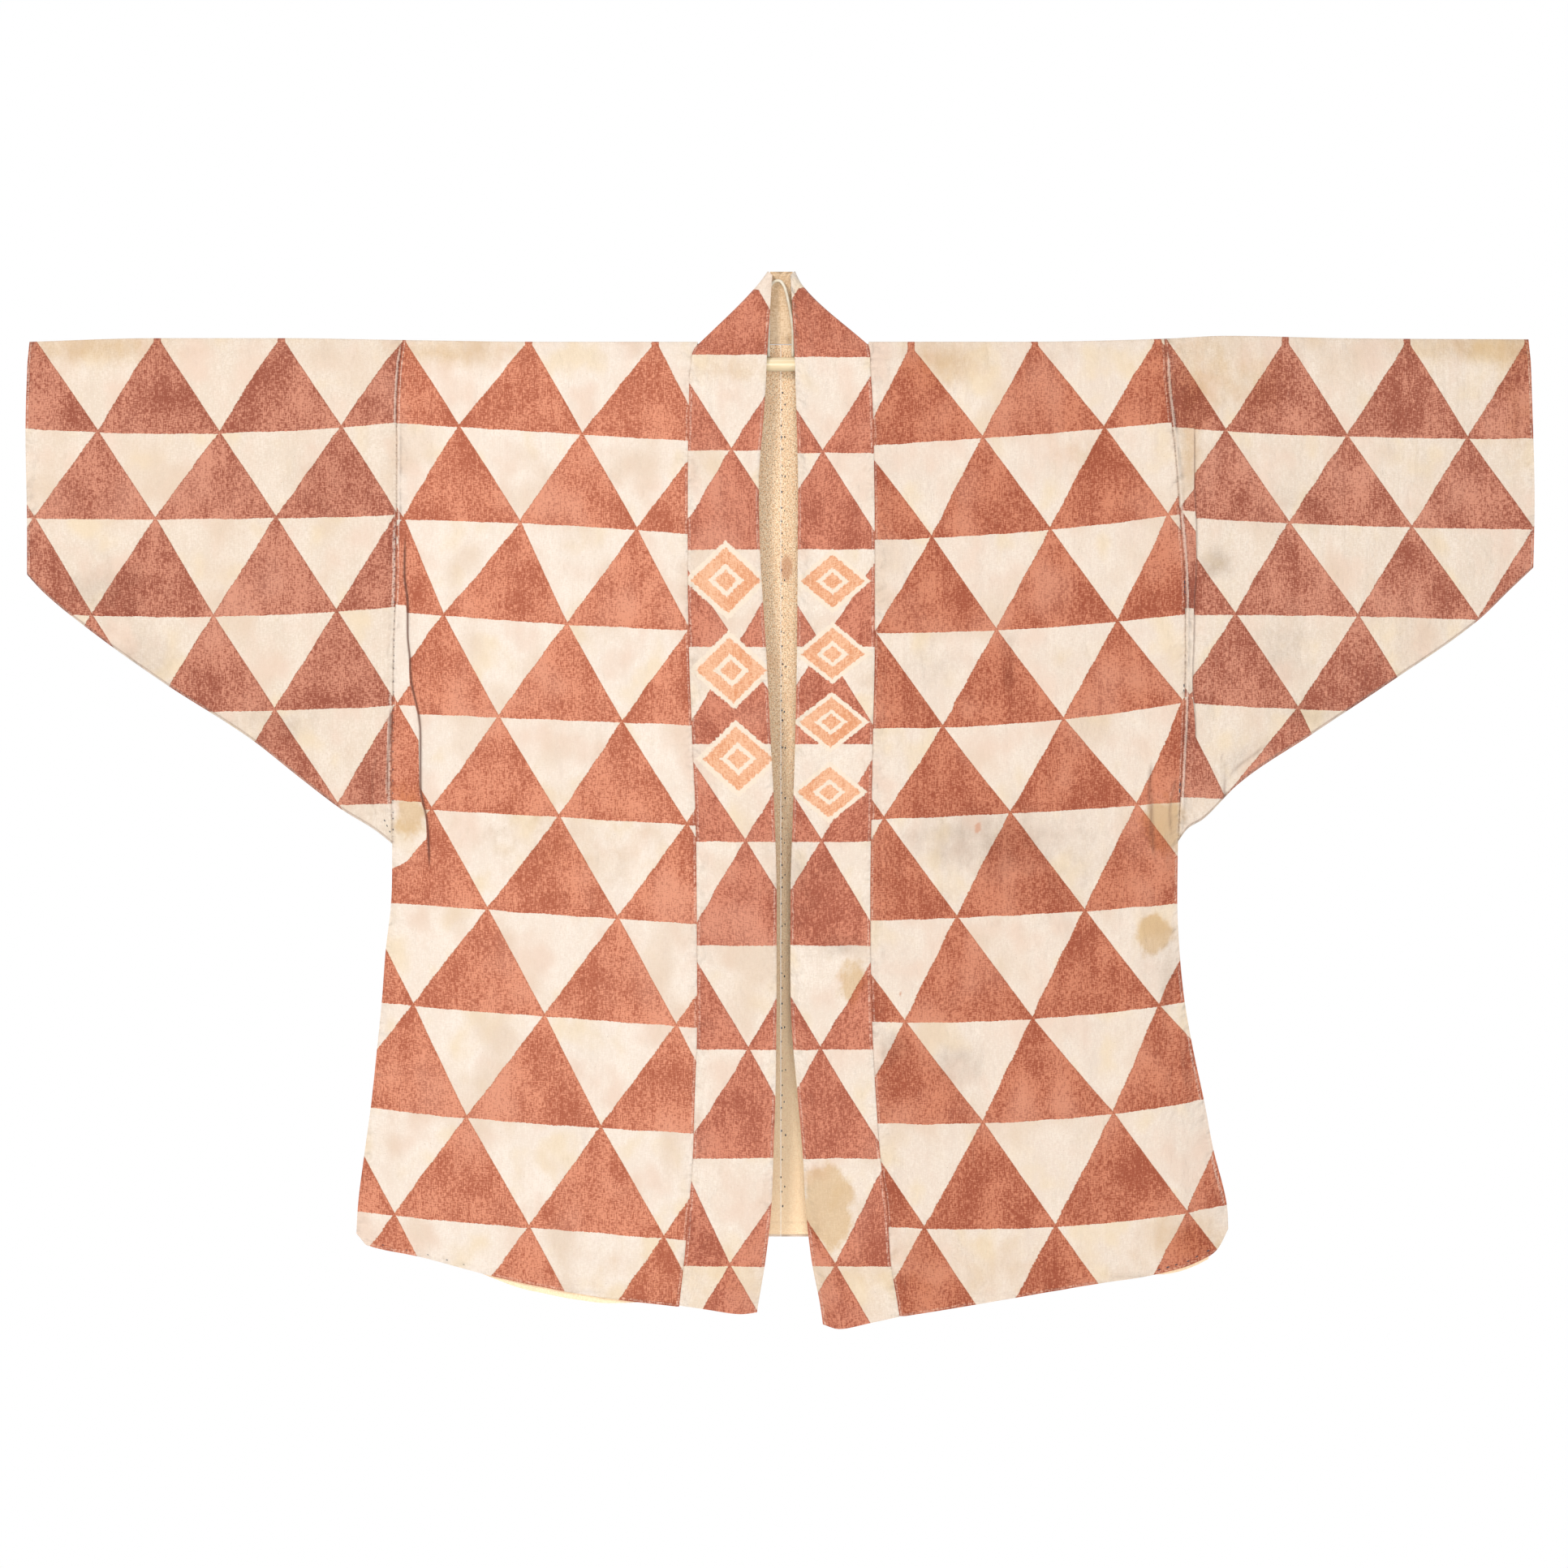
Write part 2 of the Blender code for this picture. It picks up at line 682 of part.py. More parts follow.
def turned(name, path, radii, sides, material):
    """A closed round piece along a path in the plane of x and z, one radius a point."""
    path = np.array(path, float)
    along = np.gradient(path, axis=0)
    along /= np.linalg.norm(along, axis=1, keepdims=True)
    points, faces = [], []
    for centre, way, radius in zip(path, along, radii):
        level = np.array([-way[2], 0.0, way[0]])
        for k in range(sides):
            angle = 2 * math.pi * k / sides
            place = centre + radius * (math.cos(angle) * level + math.sin(angle) * np.array([0, 1, 0]))
            points.append((place * MM).tolist())
    for i in range(len(path) - 1):
        for k in range(sides):
            k2 = (k + 1) % sides
            faces.append([i * sides + k, (i + 1) * sides + k, (i + 1) * sides + k2, i * sides + k2])
    faces.append(list(range(sides)))
    faces.append(list(reversed(range((len(path) - 1) * sides, len(path) * sides))))
    add_object(name, points, faces, material)


def hanger_rod(material):
    end, ease = ROD_HALF_LENGTH, ROD_END_ROUND
    xs = (-end, -end + ease, 0.0, end - ease, end)
    radii = (ROD_RADIUS - ease, ROD_RADIUS, ROD_RADIUS, ROD_RADIUS, ROD_RADIUS - ease)
    turned("hanger_rod", [(x, 0, ROD_Z) for x in xs], radii, ROD_SIDES, material)


def hanger_loop(material):
    """The wire: up from the rod, over a lopsided arch and down to the rod again."""
    foot = ROD_Z + ROD_RADIUS + WIRE_FOOT_GAP
    arch = [
        Point(-10.3, foot),
        Point(-10.3, -45),
        Point(-10.3, -27),
        Point(-10.2, -13),
        Point(-9.2, -6),
        Point(-7.4, -1.2),
        Point(-4.2, 1.1),
        Point(-0.6, 1.0),
        Point(2.2, -2.2),
        Point(4.4, -7.6),
        Point(6.2, -15),
        Point(8.0, -24),
        Point(9.6, -34),
        Point(10.3, -44),
        Point(10.3, foot),
    ]
    path = [(p.x, 0, p.z) for p in arch]
    turned("hanger_loop", path, [WIRE_RADIUS] * len(path), WIRE_SIDES, material)


def main():
    for thing in list(bpy.data.objects):
        bpy.data.objects.remove(thing, do_unlink=True)
    cotton = make_material("cotton")
    lined = make_material("lining")
    for side in ("right", "left"):
        grid = body(side, cotton)
        sleeve(side, cotton)
        lining("front", side, grid, lined)
        lining("back", side, grid, lined)
    collar(make_material("dyed_band"))
    hanger_rod(make_material("ivory"))
    hanger_loop(make_material("coated_wire"))


main()
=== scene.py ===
"""Looks for a lined happi coat that hangs on a plain rod by a wire loop.

Every cloth is a thin wall on the same outline as its solid, with the finer folds set in the
tables below. Sizes are millimetres until a mesh is made: x to the wearer's left, z up, the
front faces -y, and the origin is the inside top of the loop. "right" and "left" are the
wearer's.
"""

import math
from collections import namedtuple

import bpy
import numpy as np
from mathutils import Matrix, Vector


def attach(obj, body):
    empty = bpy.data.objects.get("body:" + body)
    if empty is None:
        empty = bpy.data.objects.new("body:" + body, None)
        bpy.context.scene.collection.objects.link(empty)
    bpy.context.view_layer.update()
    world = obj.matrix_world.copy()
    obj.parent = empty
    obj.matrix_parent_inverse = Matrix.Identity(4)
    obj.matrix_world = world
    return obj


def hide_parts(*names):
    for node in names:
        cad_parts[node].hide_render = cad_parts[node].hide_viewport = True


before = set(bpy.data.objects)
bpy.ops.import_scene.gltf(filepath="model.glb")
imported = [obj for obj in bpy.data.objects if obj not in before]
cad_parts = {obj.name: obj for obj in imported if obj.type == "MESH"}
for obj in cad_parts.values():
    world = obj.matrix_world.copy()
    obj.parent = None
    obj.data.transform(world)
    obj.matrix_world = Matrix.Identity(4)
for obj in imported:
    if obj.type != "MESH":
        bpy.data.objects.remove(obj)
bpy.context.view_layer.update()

MM = 0.001

# Walls and gaps
CLOTH = 1.6
BAND = 2.4
LINING = 1.0
GAP = 0.3
SEAM_GAP = 0.05
PRESSED = CLOTH + GAP / 2

# The hanger
ROD_RADIUS = 5.85
ROD_Z = -69.0
WIRE_RADIUS = 1.3
WIRE_SIDES = 16
WIRE_STEPS = 5
WIRE_FOOT_GAP = 0.4

# The pressed fold at the shoulder
NOSE_RADIUS = 2.3
FRONT_PITCH = math.radians(20)
BACK_PITCH = math.radians(25)
ROOF_BLEND = 1.4
CLOSING = 65.0
SLANT = 0.8
SEAM_NOSE = 1.9
UNDERARM_REACH = 12.0
NECK_DEPTH = 6.3
NECK_SPREAD = 35.0
ROD_DEPTH_BELOW_FOLD = 19.0
ROD_CLEARANCE = 6.0
ROD_EASE = 30.0
BAND_PROUD = 0.7

Depth = namedtuple("Depth", "drop front back")
OPEN_DEPTH = [
    Depth(0, 8.6, 9.9),
    Depth(20, 8.6, 9.9),
    Depth(150, 9.2, 10.4),
    Depth(420, 11.0, 12.0),
    Depth(820, 13.0, 14.0),
]

Point = namedtuple("Point", "x z")
SHOULDER = [
    Point(-631, -50), Point(-524, -47), Point(-418, -47), Point(-320, -48.5), Point(-200, -50),
    Point(200, -50), Point(321, -47.5), Point(375, -45), Point(470, -47), Point(626, -48),
]

Sides = namedtuple("Sides", "z right left")
ARMHOLE = [
    Sides(-473, -326.3, 333.5),
    Sides(-434, -326.3, 335),
    Sides(-403, -326, 336.5),
    Sides(-356, -325, 338.5),
    Sides(-299, -324, 339),
    Sides(-240, -322, 338),
    Sides(-204, -322, 335),
    Sides(-147, -322, 331),
    Sides(-89, -321, 324),
    Sides(-45, -317, 322),
]
SIDE_SEAM = [
    Sides(-800, -356.5, 376),
    Sides(-774, -355, 374.5),
    Sides(-727, -349, 363),
    Sides(-690, -344, 356),
    Sides(-643, -339, 346),
    Sides(-603, -335, 339),
    Sides(-563, -332, 335),
    Sides(-520, -327.2, 333),
    Sides(-473, -326.3, 333.5),
]
CUFF = [
    Sides(-246, -633, 632),
    Sides(-196, -632, 632),
    Sides(-131, -633, 631),
    Sides(-50, -631, 628),
]
UNDERARM_Z = {"right": -473.0, "left": -471.0}
SLEEVE_SEAM = {
    "right": [
        Point(-633, -246), Point(-620, -260), Point(-581, -292), Point(-518, -337),
        Point(-445, -384), Point(-402, -418), Point(-369, -443), Point(-340, -461),
        Point(-325, -473),
    ],
    "left": [
        Point(333, -471), Point(341, -460), Point(355, -451), Point(384, -422), Point(446, -380),
        Point(515, -334), Point(586, -284), Point(614, -257), Point(632, -240),
    ],
}
FRONT_HEM = {
    "right": [
        Point(-356.5, -799), Point(-349, -808), Point(-339, -811), Point(-305, -817),
        Point(-240, -834), Point(-182, -846), Point(-137, -853), Point(-84, -859),
    ],
    "left": [
        Point(98, -867), Point(125, -863), Point(199, -851), Point(265, -840), Point(315, -832),
        Point(354, -820), Point(367, -811), Point(376, -795),
    ],
}
BACK_HEM = [
    Point(-356.5, -799), Point(-347, -806), Point(-250, -806), Point(-120, -804), Point(0, -803),
    Point(130, -805), Point(260, -808), Point(364, -811), Point(376, -795),
]

Band = namedtuple("Band", "z right_seam right_edge left_edge left_seam")
COLLAR = [
    Band(-880, -87, -22, 36, 101),
    Band(-858, -85, -19, 33, 98),
    Band(-822, -81, -13, 26, 92),
    Band(-778, -77, -8, 21, 89),
    Band(-740, -74, -6.5, 19, 84),
    Band(-681, -72, -4.5, 14, 79.5),
    Band(-622, -70, -3.7, 9, 76.5),
    Band(-518, -70.5, -3.5, 8.2, 75),
    Band(-445, -71.5, -5.4, 10.2, 76),
    Band(-388, -74, -8.3, 12, 77),
    Band(-307, -77, -12.5, 13.6, 78.7),
    Band(-225, -78, -17.5, 14.2, 78.7),
    Band(-173, -78, -18.5, 14.5, 78.5),
    Band(-105, -77, -13.8, 13, 77),
    Band(-69, -75.5, -12, 12, 75),
    Band(-57, -73, -12, 12, 74.5),
    Band(-50, -67.5, -12, 12, 72.5),
]
# The 45-degree fold at each shoulder, from the neck seam (across 0) to the free edge (1)
Fold45 = namedtuple("Fold45", "across right_x left_x z")
PEAK = [
    Fold45(0.0, -69.4, 72.9, -52.5),
    Fold45(0.85, -19.5, 18, -2),
    Fold45(1.0, -11, 12, 9.3),
]
BandEnd = namedtuple("BandEnd", "across right_z left_z")
COLLAR_HEM = [
    BandEnd(0.0, -858, -867.5),
    BandEnd(0.4, -862, -873),
    BandEnd(0.8, -865.5, -878),
    BandEnd(1.0, -864, -874),
]
NECK_SEAM_Z = -51.6
NECK_POINT = {"right": -69.8, "left": 73.9}
BAND_TOP_Z = 9.3
PEAK_SEAM_RADIUS = 3.2
PEAK_EDGE_RADIUS = 5.4
PEAK_SHIFT = 0.9
PEAK_STEP = 2.0
PEAK_START = 0.15
PEAK_PARTS = np.arange(1, 10) / 10
BACK_PARTS = np.arange(1, 11) / 10
NECK_PARTS = np.arange(1, 9) / 8
BACK_RISE = 1.6
BACK_INSET = 2.0
NECK_SEAM_TILT = 0.2

# The main folds: a soft ridge (or trough, where rise is negative) along a line on the cloth
Crease = namedtuple("Crease", "x_top z_top x_low z_low width rise")
FRONT_CREASES = [
    Crease(-316, -290, -306, -500, 11, 2.6),
    Crease(-336, -300, -341, -440, 7, 1.4),
    Crease(-205, -250, -190, -840, 34, 2.2),
    Crease(-120, -90, -128, -560, 26, -1.6),
    Crease(-262, -500, -292, -820, 30, 2.8),
    Crease(-150, -560, -150, -860, 24, -2.4),
    Crease(-470, -70, -455, -360, 38, 1.6),
    Crease(-560, -90, -590, -270, 30, -1.5),
    Crease(318, -370, 327, -520, 11, 3.0),
    Crease(344, -420, 392, -380, 10, 3.0),
    Crease(352, -360, 420, -330, 12, -1.6),
    Crease(214, -220, 236, -840, 36, 2.4),
    Crease(128, -90, 132, -520, 24, -1.5),
    Crease(296, -520, 326, -820, 26, 2.8),
    Crease(170, -580, 176, -860, 26, -2.4),
    Crease(486, -70, 470, -350, 36, 1.6),
    Crease(575, -90, 604, -250, 28, -1.4),
]
BACK_CREASES = [
    Crease(-312, -170, -304, -500, 11, 3.8),
    Crease(-232, -230, -246, -790, 34, 2.4),
    Crease(-140, -110, -128, -620, 28, -1.8),
    Crease(-60, -420, -52, -800, 26, 2.0),
    Crease(-300, -560, -316, -790, 24, 2.4),
    Crease(-505, -80, -480, -340, 36, 1.5),
    Crease(316, -200, 322, -510, 12, 3.8),
    Crease(238, -240, 256, -790, 34, 2.2),
    Crease(122, -120, 136, -640, 30, -1.8),
    Crease(66, -440, 58, -800, 28, 1.8),
    Crease(310, -560, 334, -790, 26, 2.6),
    Crease(520, -80, 500, -330, 34, 1.5),
]
# Smaller creases, too fine for the solids
FRONT_FINE = [
    Crease(-148, -430, -96, -500, 4, 1.3),
    Crease(-100, -545, -88, -640, 3, 1.1),
    Crease(-132, -470, -118, -590, 5, -1.2),
    Crease(-252, -560, -232, -640, 4, 1.0),
    Crease(-300, -300, -262, -352, 4, -1.0),
    Crease(-292, -462, -250, -520, 4, 1.2),
    Crease(-318, -520, -300, -600, 4, -1.0),
    Crease(-186, -720, -196, -835, 5, 1.2),
    Crease(-96, -760, -110, -850, 4, 0.8),
    Crease(-340, -690, -322, -790, 5, 0.9),
    Crease(-440, -250, -410, -330, 5, 0.7),
    Crease(-500, -120, -478, -240, 5, 0.6),
    Crease(-380, -340, -352, -430, 4, 0.9),
    Crease(-365, -400, -345, -455, 3, -0.9),
    Crease(-590, -150, -602, -240, 4, 0.6),
    Crease(292, -300, 286, -400, 4, 0.9),
    Crease(302, -400, 296, -500, 4, -0.9),
    Crease(322, -452, 300, -540, 4, 0.9),
    Crease(413, -376, 364, -406, 3.4, 1.9),
    Crease(408, -392, 376, -412, 5, -1.4),
    Crease(356, -436, 372, -420, 3, 1.0),
    Crease(150, -420, 118, -520, 4, 0.7),
    Crease(104, -300, 96, -420, 4, 0.6),
    Crease(244, -600, 262, -700, 4, 0.7),
    Crease(330, -600, 346, -740, 5, 0.9),
    Crease(120, -740, 112, -855, 4, 0.8),
    Crease(214, -730, 220, -845, 5, -0.8),
    Crease(420, -180, 398, -290, 4, 0.7),
    Crease(500, -200, 470, -300, 5, 0.6),
    Crease(560, -120, 572, -220, 4, 0.6),
]
BACK_FINE = [
    Crease(-24, -300, -18, -560, 5, 0.8),
    Crease(22, -340, 30, -620, 5, -0.8),
    Crease(-180, -400, -150, -520, 4, 0.8),
    Crease(-282, -420, -240, -520, 5, 0.9),
    Crease(-330, -640, -320, -780, 5, 0.9),
    Crease(-110, -640, -104, -795, 5, -0.8),
    Crease(-440, -240, -402, -360, 5, 0.8),
    Crease(-560, -120, -548, -240, 4, 0.6),
    Crease(176, -380, 160, -520, 5, 0.8),
    Crease(296, -430, 250, -540, 5, 0.9),
    Crease(340, -640, 352, -780, 5, 0.9),
    Crease(110, -650, 120, -795, 5, 0.8),
    Crease(452, -230, 410, -360, 5, 0.8),
    Crease(566, -110, 560, -240, 4, 0.6),
]
CREASE_TAPER = 0.22
CREASE_EDGE_FADE = 10.0

# Sharp folds, steep on one side, with a painted shadow in the crevice at the foot; paths run from the lowest
# up
PLEAT = [
    Point(-295, -500), Point(-295.8, -477.4), Point(-297.2, -452.9), Point(-302.6, -422.6),
    Point(-302.6, -380.1), Point(-304.2, -363.1), Point(-310.3, -335.2), Point(-311.4, -316.9),
    Point(-313.5, -295), Point(-313.5, -270), Point(-316.2, -246), Point(-315.5, -206),
]
STRIP = [
    Point(347.0, -388), Point(347.2, -376.5), Point(345.6, -348.8), Point(344.8, -332.4),
    Point(345.9, -299.2), Point(346.4, -266.6), Point(348.0, -233.6), Point(348.0, -210.5),
    Point(346.4, -167.7), Point(346.4, -120),
]
# A fold's foot lies a little past its line; the two numbers before the path are the strength and width of the
# painted shadow there
FoldLine = namedtuple("FoldLine", "low_x_width high_x_width rise taper foot dark dark_width path")
FOLD_LINES = [
    FoldLine(17, 0.9, 3.4, 24, 1.0, 0.9, 0.8, PLEAT),
    FoldLine(4, 0.8, 1.6, 14, 1.2, 0.7, 0.9, [
        Point(-331.2, -440), Point(-330.5, -410.7), Point(-328.4, -376.7), Point(-327.8, -352),
    ]),
    FoldLine(12, 3.0, 2.6, 14, 2.2, 0.5, 2.2, [
        Point(311.5, -490), Point(308.8, -463), Point(307.8, -440), Point(306.8, -418), Point(309, -398),
    ]),
    FoldLine(9, 1.2, 1.8, 8, 1.0, 0.6, 0.9, [
        Point(371.2, -438), Point(370.7, -425), Point(369.8, -406), Point(367.5, -394),
    ]),
    FoldLine(4, 2.2, 1.6, 6, 1.8, 0.42, 1.6, [
        Point(373.0, -416), Point(380.0, -408), Point(393.0, -399), Point(410.0, -384),
    ]),
    FoldLine(5, 1.6, 1.2, 7, 1.4, 0.38, 1.3, [
        Point(327.0, -466), Point(324.5, -448), Point(326.0, -432), Point(331.0, -414),
    ]),
    FoldLine(5, 1.6, 1.4, 9, 1.4, 0.34, 1.4, [
        Point(-339.0, -452), Point(-343.5, -436), Point(-343.0, -416), Point(-339.0, -392),
    ]),
]
# Columns of the grid that follow a sharp fold, so that it stays crisp
GUIDES = {"body_right": PLEAT, "sleeve_left": STRIP}
GUIDE_OFFSETS = np.array([-3.4, -2.0, -1.1, -0.4, 0.4, 1.1, 2.0, 3.4])
GUIDE_CELLS = 7
# How far the pattern jumps where a pleat hides part of the cloth, in pitches and rows
PLEAT_SHIFTS = {"body_right": (-0.18, 0.08), "sleeve_left": (-0.108, 0.07)}
SHIFT_TAPER = 16.0

# The sway of hanging cloth: two pairs of waves that multiply; lengths are for one radian
Wave = namedtuple("Wave", "across down phase")
BROAD_SWAY = (Wave(37, 150, 0.6), Wave(-210, 61, 0.0))
FINE_SWAY = (Wave(17.3, -47, 0.0), Wave(83, 29.1, 1.7))
SWAY = 0.95
FINE_SHARE = 0.35

# What makes a wave uneven: its drift and swell, and how many times longer than the wave they are
DRIFT = 1.4
DRIFT_LENGTH = 4.3
SWELL = 0.38
SWELL_LENGTH = 6.7
SWELL_PHASE = 2.1

# Puckers: uneven waves along a seam or an edge, which die out within a reach of it
Puckers = namedtuple("Puckers", "rise wave phase reach")
ARM_PUCKERS = {"right": Puckers(0.9, 2.9, 1.0, 10), "left": Puckers(0.9, 2.9, 2.3, 10)}
COLLAR_PUCKERS = Puckers(0.35, 5.3, 0.7, 7)
HEM_PUCKERS = Puckers(0.6, 5.1, 0.4, 11)
SLEEVE_PUCKERS = Puckers(0.66, 4.4, 1.9, 12)
BAND_PUCKERS = Puckers(0.25, 6.1, 1.2, 6)
ARM_DIP = 0.9
ARM_DIP_WIDTH = 1.0
COLLAR_DIP = 0.7
COLLAR_DIP_WIDTH = 1.3
BAND_ROUND = 0.9
BAND_ROUND_WIDTH = 1.2
PIPING_WIDTH = 1.1
STRIP_RISE = 1.8
STRIP_STEP = 0.9
STRIP_FADE = 2.0
STRIP_TAPER = 12.0
SEAM_START = 14.0
UNDER_ANGLES = (25, 50, 75, 105, 130, 155)
FAR = 99.0
SHARP_ANGLE = math.radians(55)

# Heights at which a column's place on the fold and on the hem is read
FOLD_Z = -50.0
SLEEVE_FOLD_Z = -48.0
HEM_Z = -830.0
SIDE_HEM_Z = -800.0
SIDE_COLUMNS = 11

# Narrow raised strips beside the armholes; offset is towards the body, negative on the sleeve
Piping = namedtuple("Piping", "side offset rise low high")
PIPINGS = [
    Piping("right", -2.2, 1.4, -128, -52),
    Piping("right", 2.2, 1.4, -210, -118),
    Piping("right", -2.6, 1.0, -466, -200),
    Piping("left", -2.0, 1.3, -470, -60),
]

# The linings: how far inside the wall's edges they begin and end, and where the front ones show
# below the hem
LINING_INSET = 10.0
LINING_DROP = 13.0
LINING_MARKS = 0.3
LINING_SHORT = 2.0
Dropped = namedtuple("Dropped", "centre spread fall")
LINING_SHOWS = {"right": Dropped(-185.0, 62.0, 7.4), "left": Dropped(342.0, 30.0, 4.6)}

# Rows and columns of the cloth grids
NOSE_ANGLES = (68, 52, 36, 18, 0)
ROOF_DROPS = np.array([3.5, 5.5, 8.0, 10.5, 13.0, 16.0, 20.0, 26.0, 32.0])
HEM_LIFTS = np.array([9.0, 6.0, 4.0, 2.5, 1.2, 0.0])
BODY_ROWS = 170
BODY_COLUMNS = 82
NECK_COLUMNS = 16
SLEEVE_ROWS = 76
SLEEVE_COLUMNS = 76
BODY_FLANK = len(ROOF_DROPS) + BODY_ROWS + len(HEM_LIFTS)
SLEEVE_FLANK = len(ROOF_DROPS) + SLEEVE_ROWS + len(HEM_LIFTS)
SEAM_PASSES = 4
BAND_COLUMNS = 24
BAND_ROWS = 165
FOLD_ANGLES = np.arange(0, 181, 15)
EDGE_CROWDING = 0.62

# The rows of triangles, top to bottom. A corner lies at u on each line; z is read at three x.
Line = namedtuple("Line", "u x pitch z_low_x z_middle z_high_x")
Panel = namedtuple("Panel", "xs lines")
PANELS = {
    "body_right": Panel(
        (-324.4, -198.6, -73.4),
        [
            Line(0, -211.5, 106.4, -48.3, -51.3, -52.0),
            Line(0.5, -166.9, 103.0, -119.0, -126.8, -134.3),
            Line(0, -218.3, 97.6, -200.3, -204.0, -212.5),
            Line(0.5, -179.5, 103.4, -277.1, -286.6, -293.4),
            Line(0, -236.6, 103.4, -362.4, -367.5, -372.3),
            Line(0.5, -185.6, 106.8, -441.6, -448.8, -456.0),
            Line(0, -245.5, 108.8, -521.6, -530.4, -538.6),
            Line(0.5, -197.9, 110.2, -606.2, -616.1, -625.5),
            Line(0, -263.2, 112.2, -695.3, -706.5, -714.0),
            Line(0.5, -210.8, 112.9, -783.4, -794.2, -803.8),
            Line(0, -273.4, 113.6, -873.1, -885.4, -895.6),
        ],
    ),
    "body_left": Panel(
        (71.4, 204.0, 336.6),
        [
            Line(0, 212.8, 103.7, -57.1, -52.0, -47.9),
            Line(0.5, 271.3, 102.0, -138.0, -129.2, -117.6),
            Line(0, 225.8, 98.9, -217.3, -210.5, -195.5),
            Line(0.5, 282.2, 101.7, -295.1, -291.7, -279.8),
            Line(0, 236.6, 100.6, -374.7, -370.6, -353.6),
            Line(0.5, 298.5, 106.1, -451.2, -445.7, -436.6),
            Line(0, 254.3, 106.8, -536.2, -531.1, -521.9),
            Line(0.5, 316.9, 106.4, -620.8, -618.8, -605.2),
            Line(0, 278.1, 108.8, -705.5, -704.1, -689.5),
            Line(0.5, 340.0, 109.8, -791.5, -793.9, -781.3),
            Line(0, 291.0, 110.8, -883.3, -883.3, -869.7),
        ],
    ),
    "sleeve_right": Panel(
        (-631.7, -476.0, -324.4),
        [
            Line(0, -523.6, 104.4, -47.6, -47.6, -47.6),
            Line(0.5, -470.6, 102.0, -123.8, -127.8, -119.0),
            Line(0, -524.3, 101.3, -199.2, -199.6, -196.5),
            Line(0.5, -475.3, 103.0, -277.8, -281.5, -273.4),
            Line(0, -527.0, 102.7, -360.4, -361.1, -356.3),
            Line(0.5, -474.0, 102.0, -441.3, -441.3, -437.9),
            Line(0, -525.0, 102.0, -521.6, -521.6, -519.5),
        ],
    ),
    "sleeve_left": Panel(
        (336.6, 484.8, 632.4),
        [
            Line(0, 423.6, 102.0, -47.6, -51.3, -49.6),
            Line(0.5, 474.6, 101.3, -123.8, -130.9, -131.9),
            Line(0, 426.0, 102.7, -197.9, -205.4, -208.1),
            Line(0.5, 483.5, 102.3, -280.2, -281.2, -285.3),
            Line(0, 433.8, 102.0, -353.6, -360.4, -361.1),
            Line(0.5, 474.6, 102.0, -432.5, -437.9, -439.3),
            Line(0, 425.7, 102.0, -512.7, -517.5, -519.5),
        ],
    ),
}
BACK_PITCH_X = 104.0
BACK_PITCH_Z = 81.0
BACK_LINES = 11

# The bands: a corner of the pattern on the band's middle at every second line
BAND_LINES = {
    "right": (32.0, -61.9, -142.1, -225.1, -306.7, -388.3, -469.9, -556.9, -644.0, -735.1, -825.5, -914.0),
    "left": (27.0, -63.9, -144.2, -225.1, -306.7, -388.3, -469.9, -556.9, -644.0, -735.1, -825.5, -914.0),
}
BAND_CORNERS = {
    "right": [
        Point(-42.8, -825.5), Point(-27.2, -644.0), Point(-29.9, -469.9), Point(-36.0, -306.7),
        Point(-41.5, -142.1),
    ],
    "left": [
        Point(45.9, -825.5), Point(33.3, -644.0), Point(34.0, -469.9), Point(34.7, -306.7),
        Point(35.4, -144.2),
    ],
}
BAND_PITCH = 104.0
BAND_WIDTH = 64.0
BAND_ROW = 81.0
# How strong the seams' needle holes and painted shade are on the bands
BAND_HOLES_AND_SHADE = 0.75
# Above its top line the pattern stays just inside the first row
TOP_ROW_SHARE = 0.03

# The centres of the lozenges on the bands, top to bottom
LOZENGES = {
    "right": [Point(-46.2, -250.9), Point(-41.5, -326.4), Point(-35.4, -400.5)],
    "left": [Point(43.4, -251.6), Point(43.4, -312.8), Point(42.1, -369.6), Point(40.4, -428.4)],
}
LOZENGE_HALF_WIDTH = {"right": 27.9, "left": 25.2}
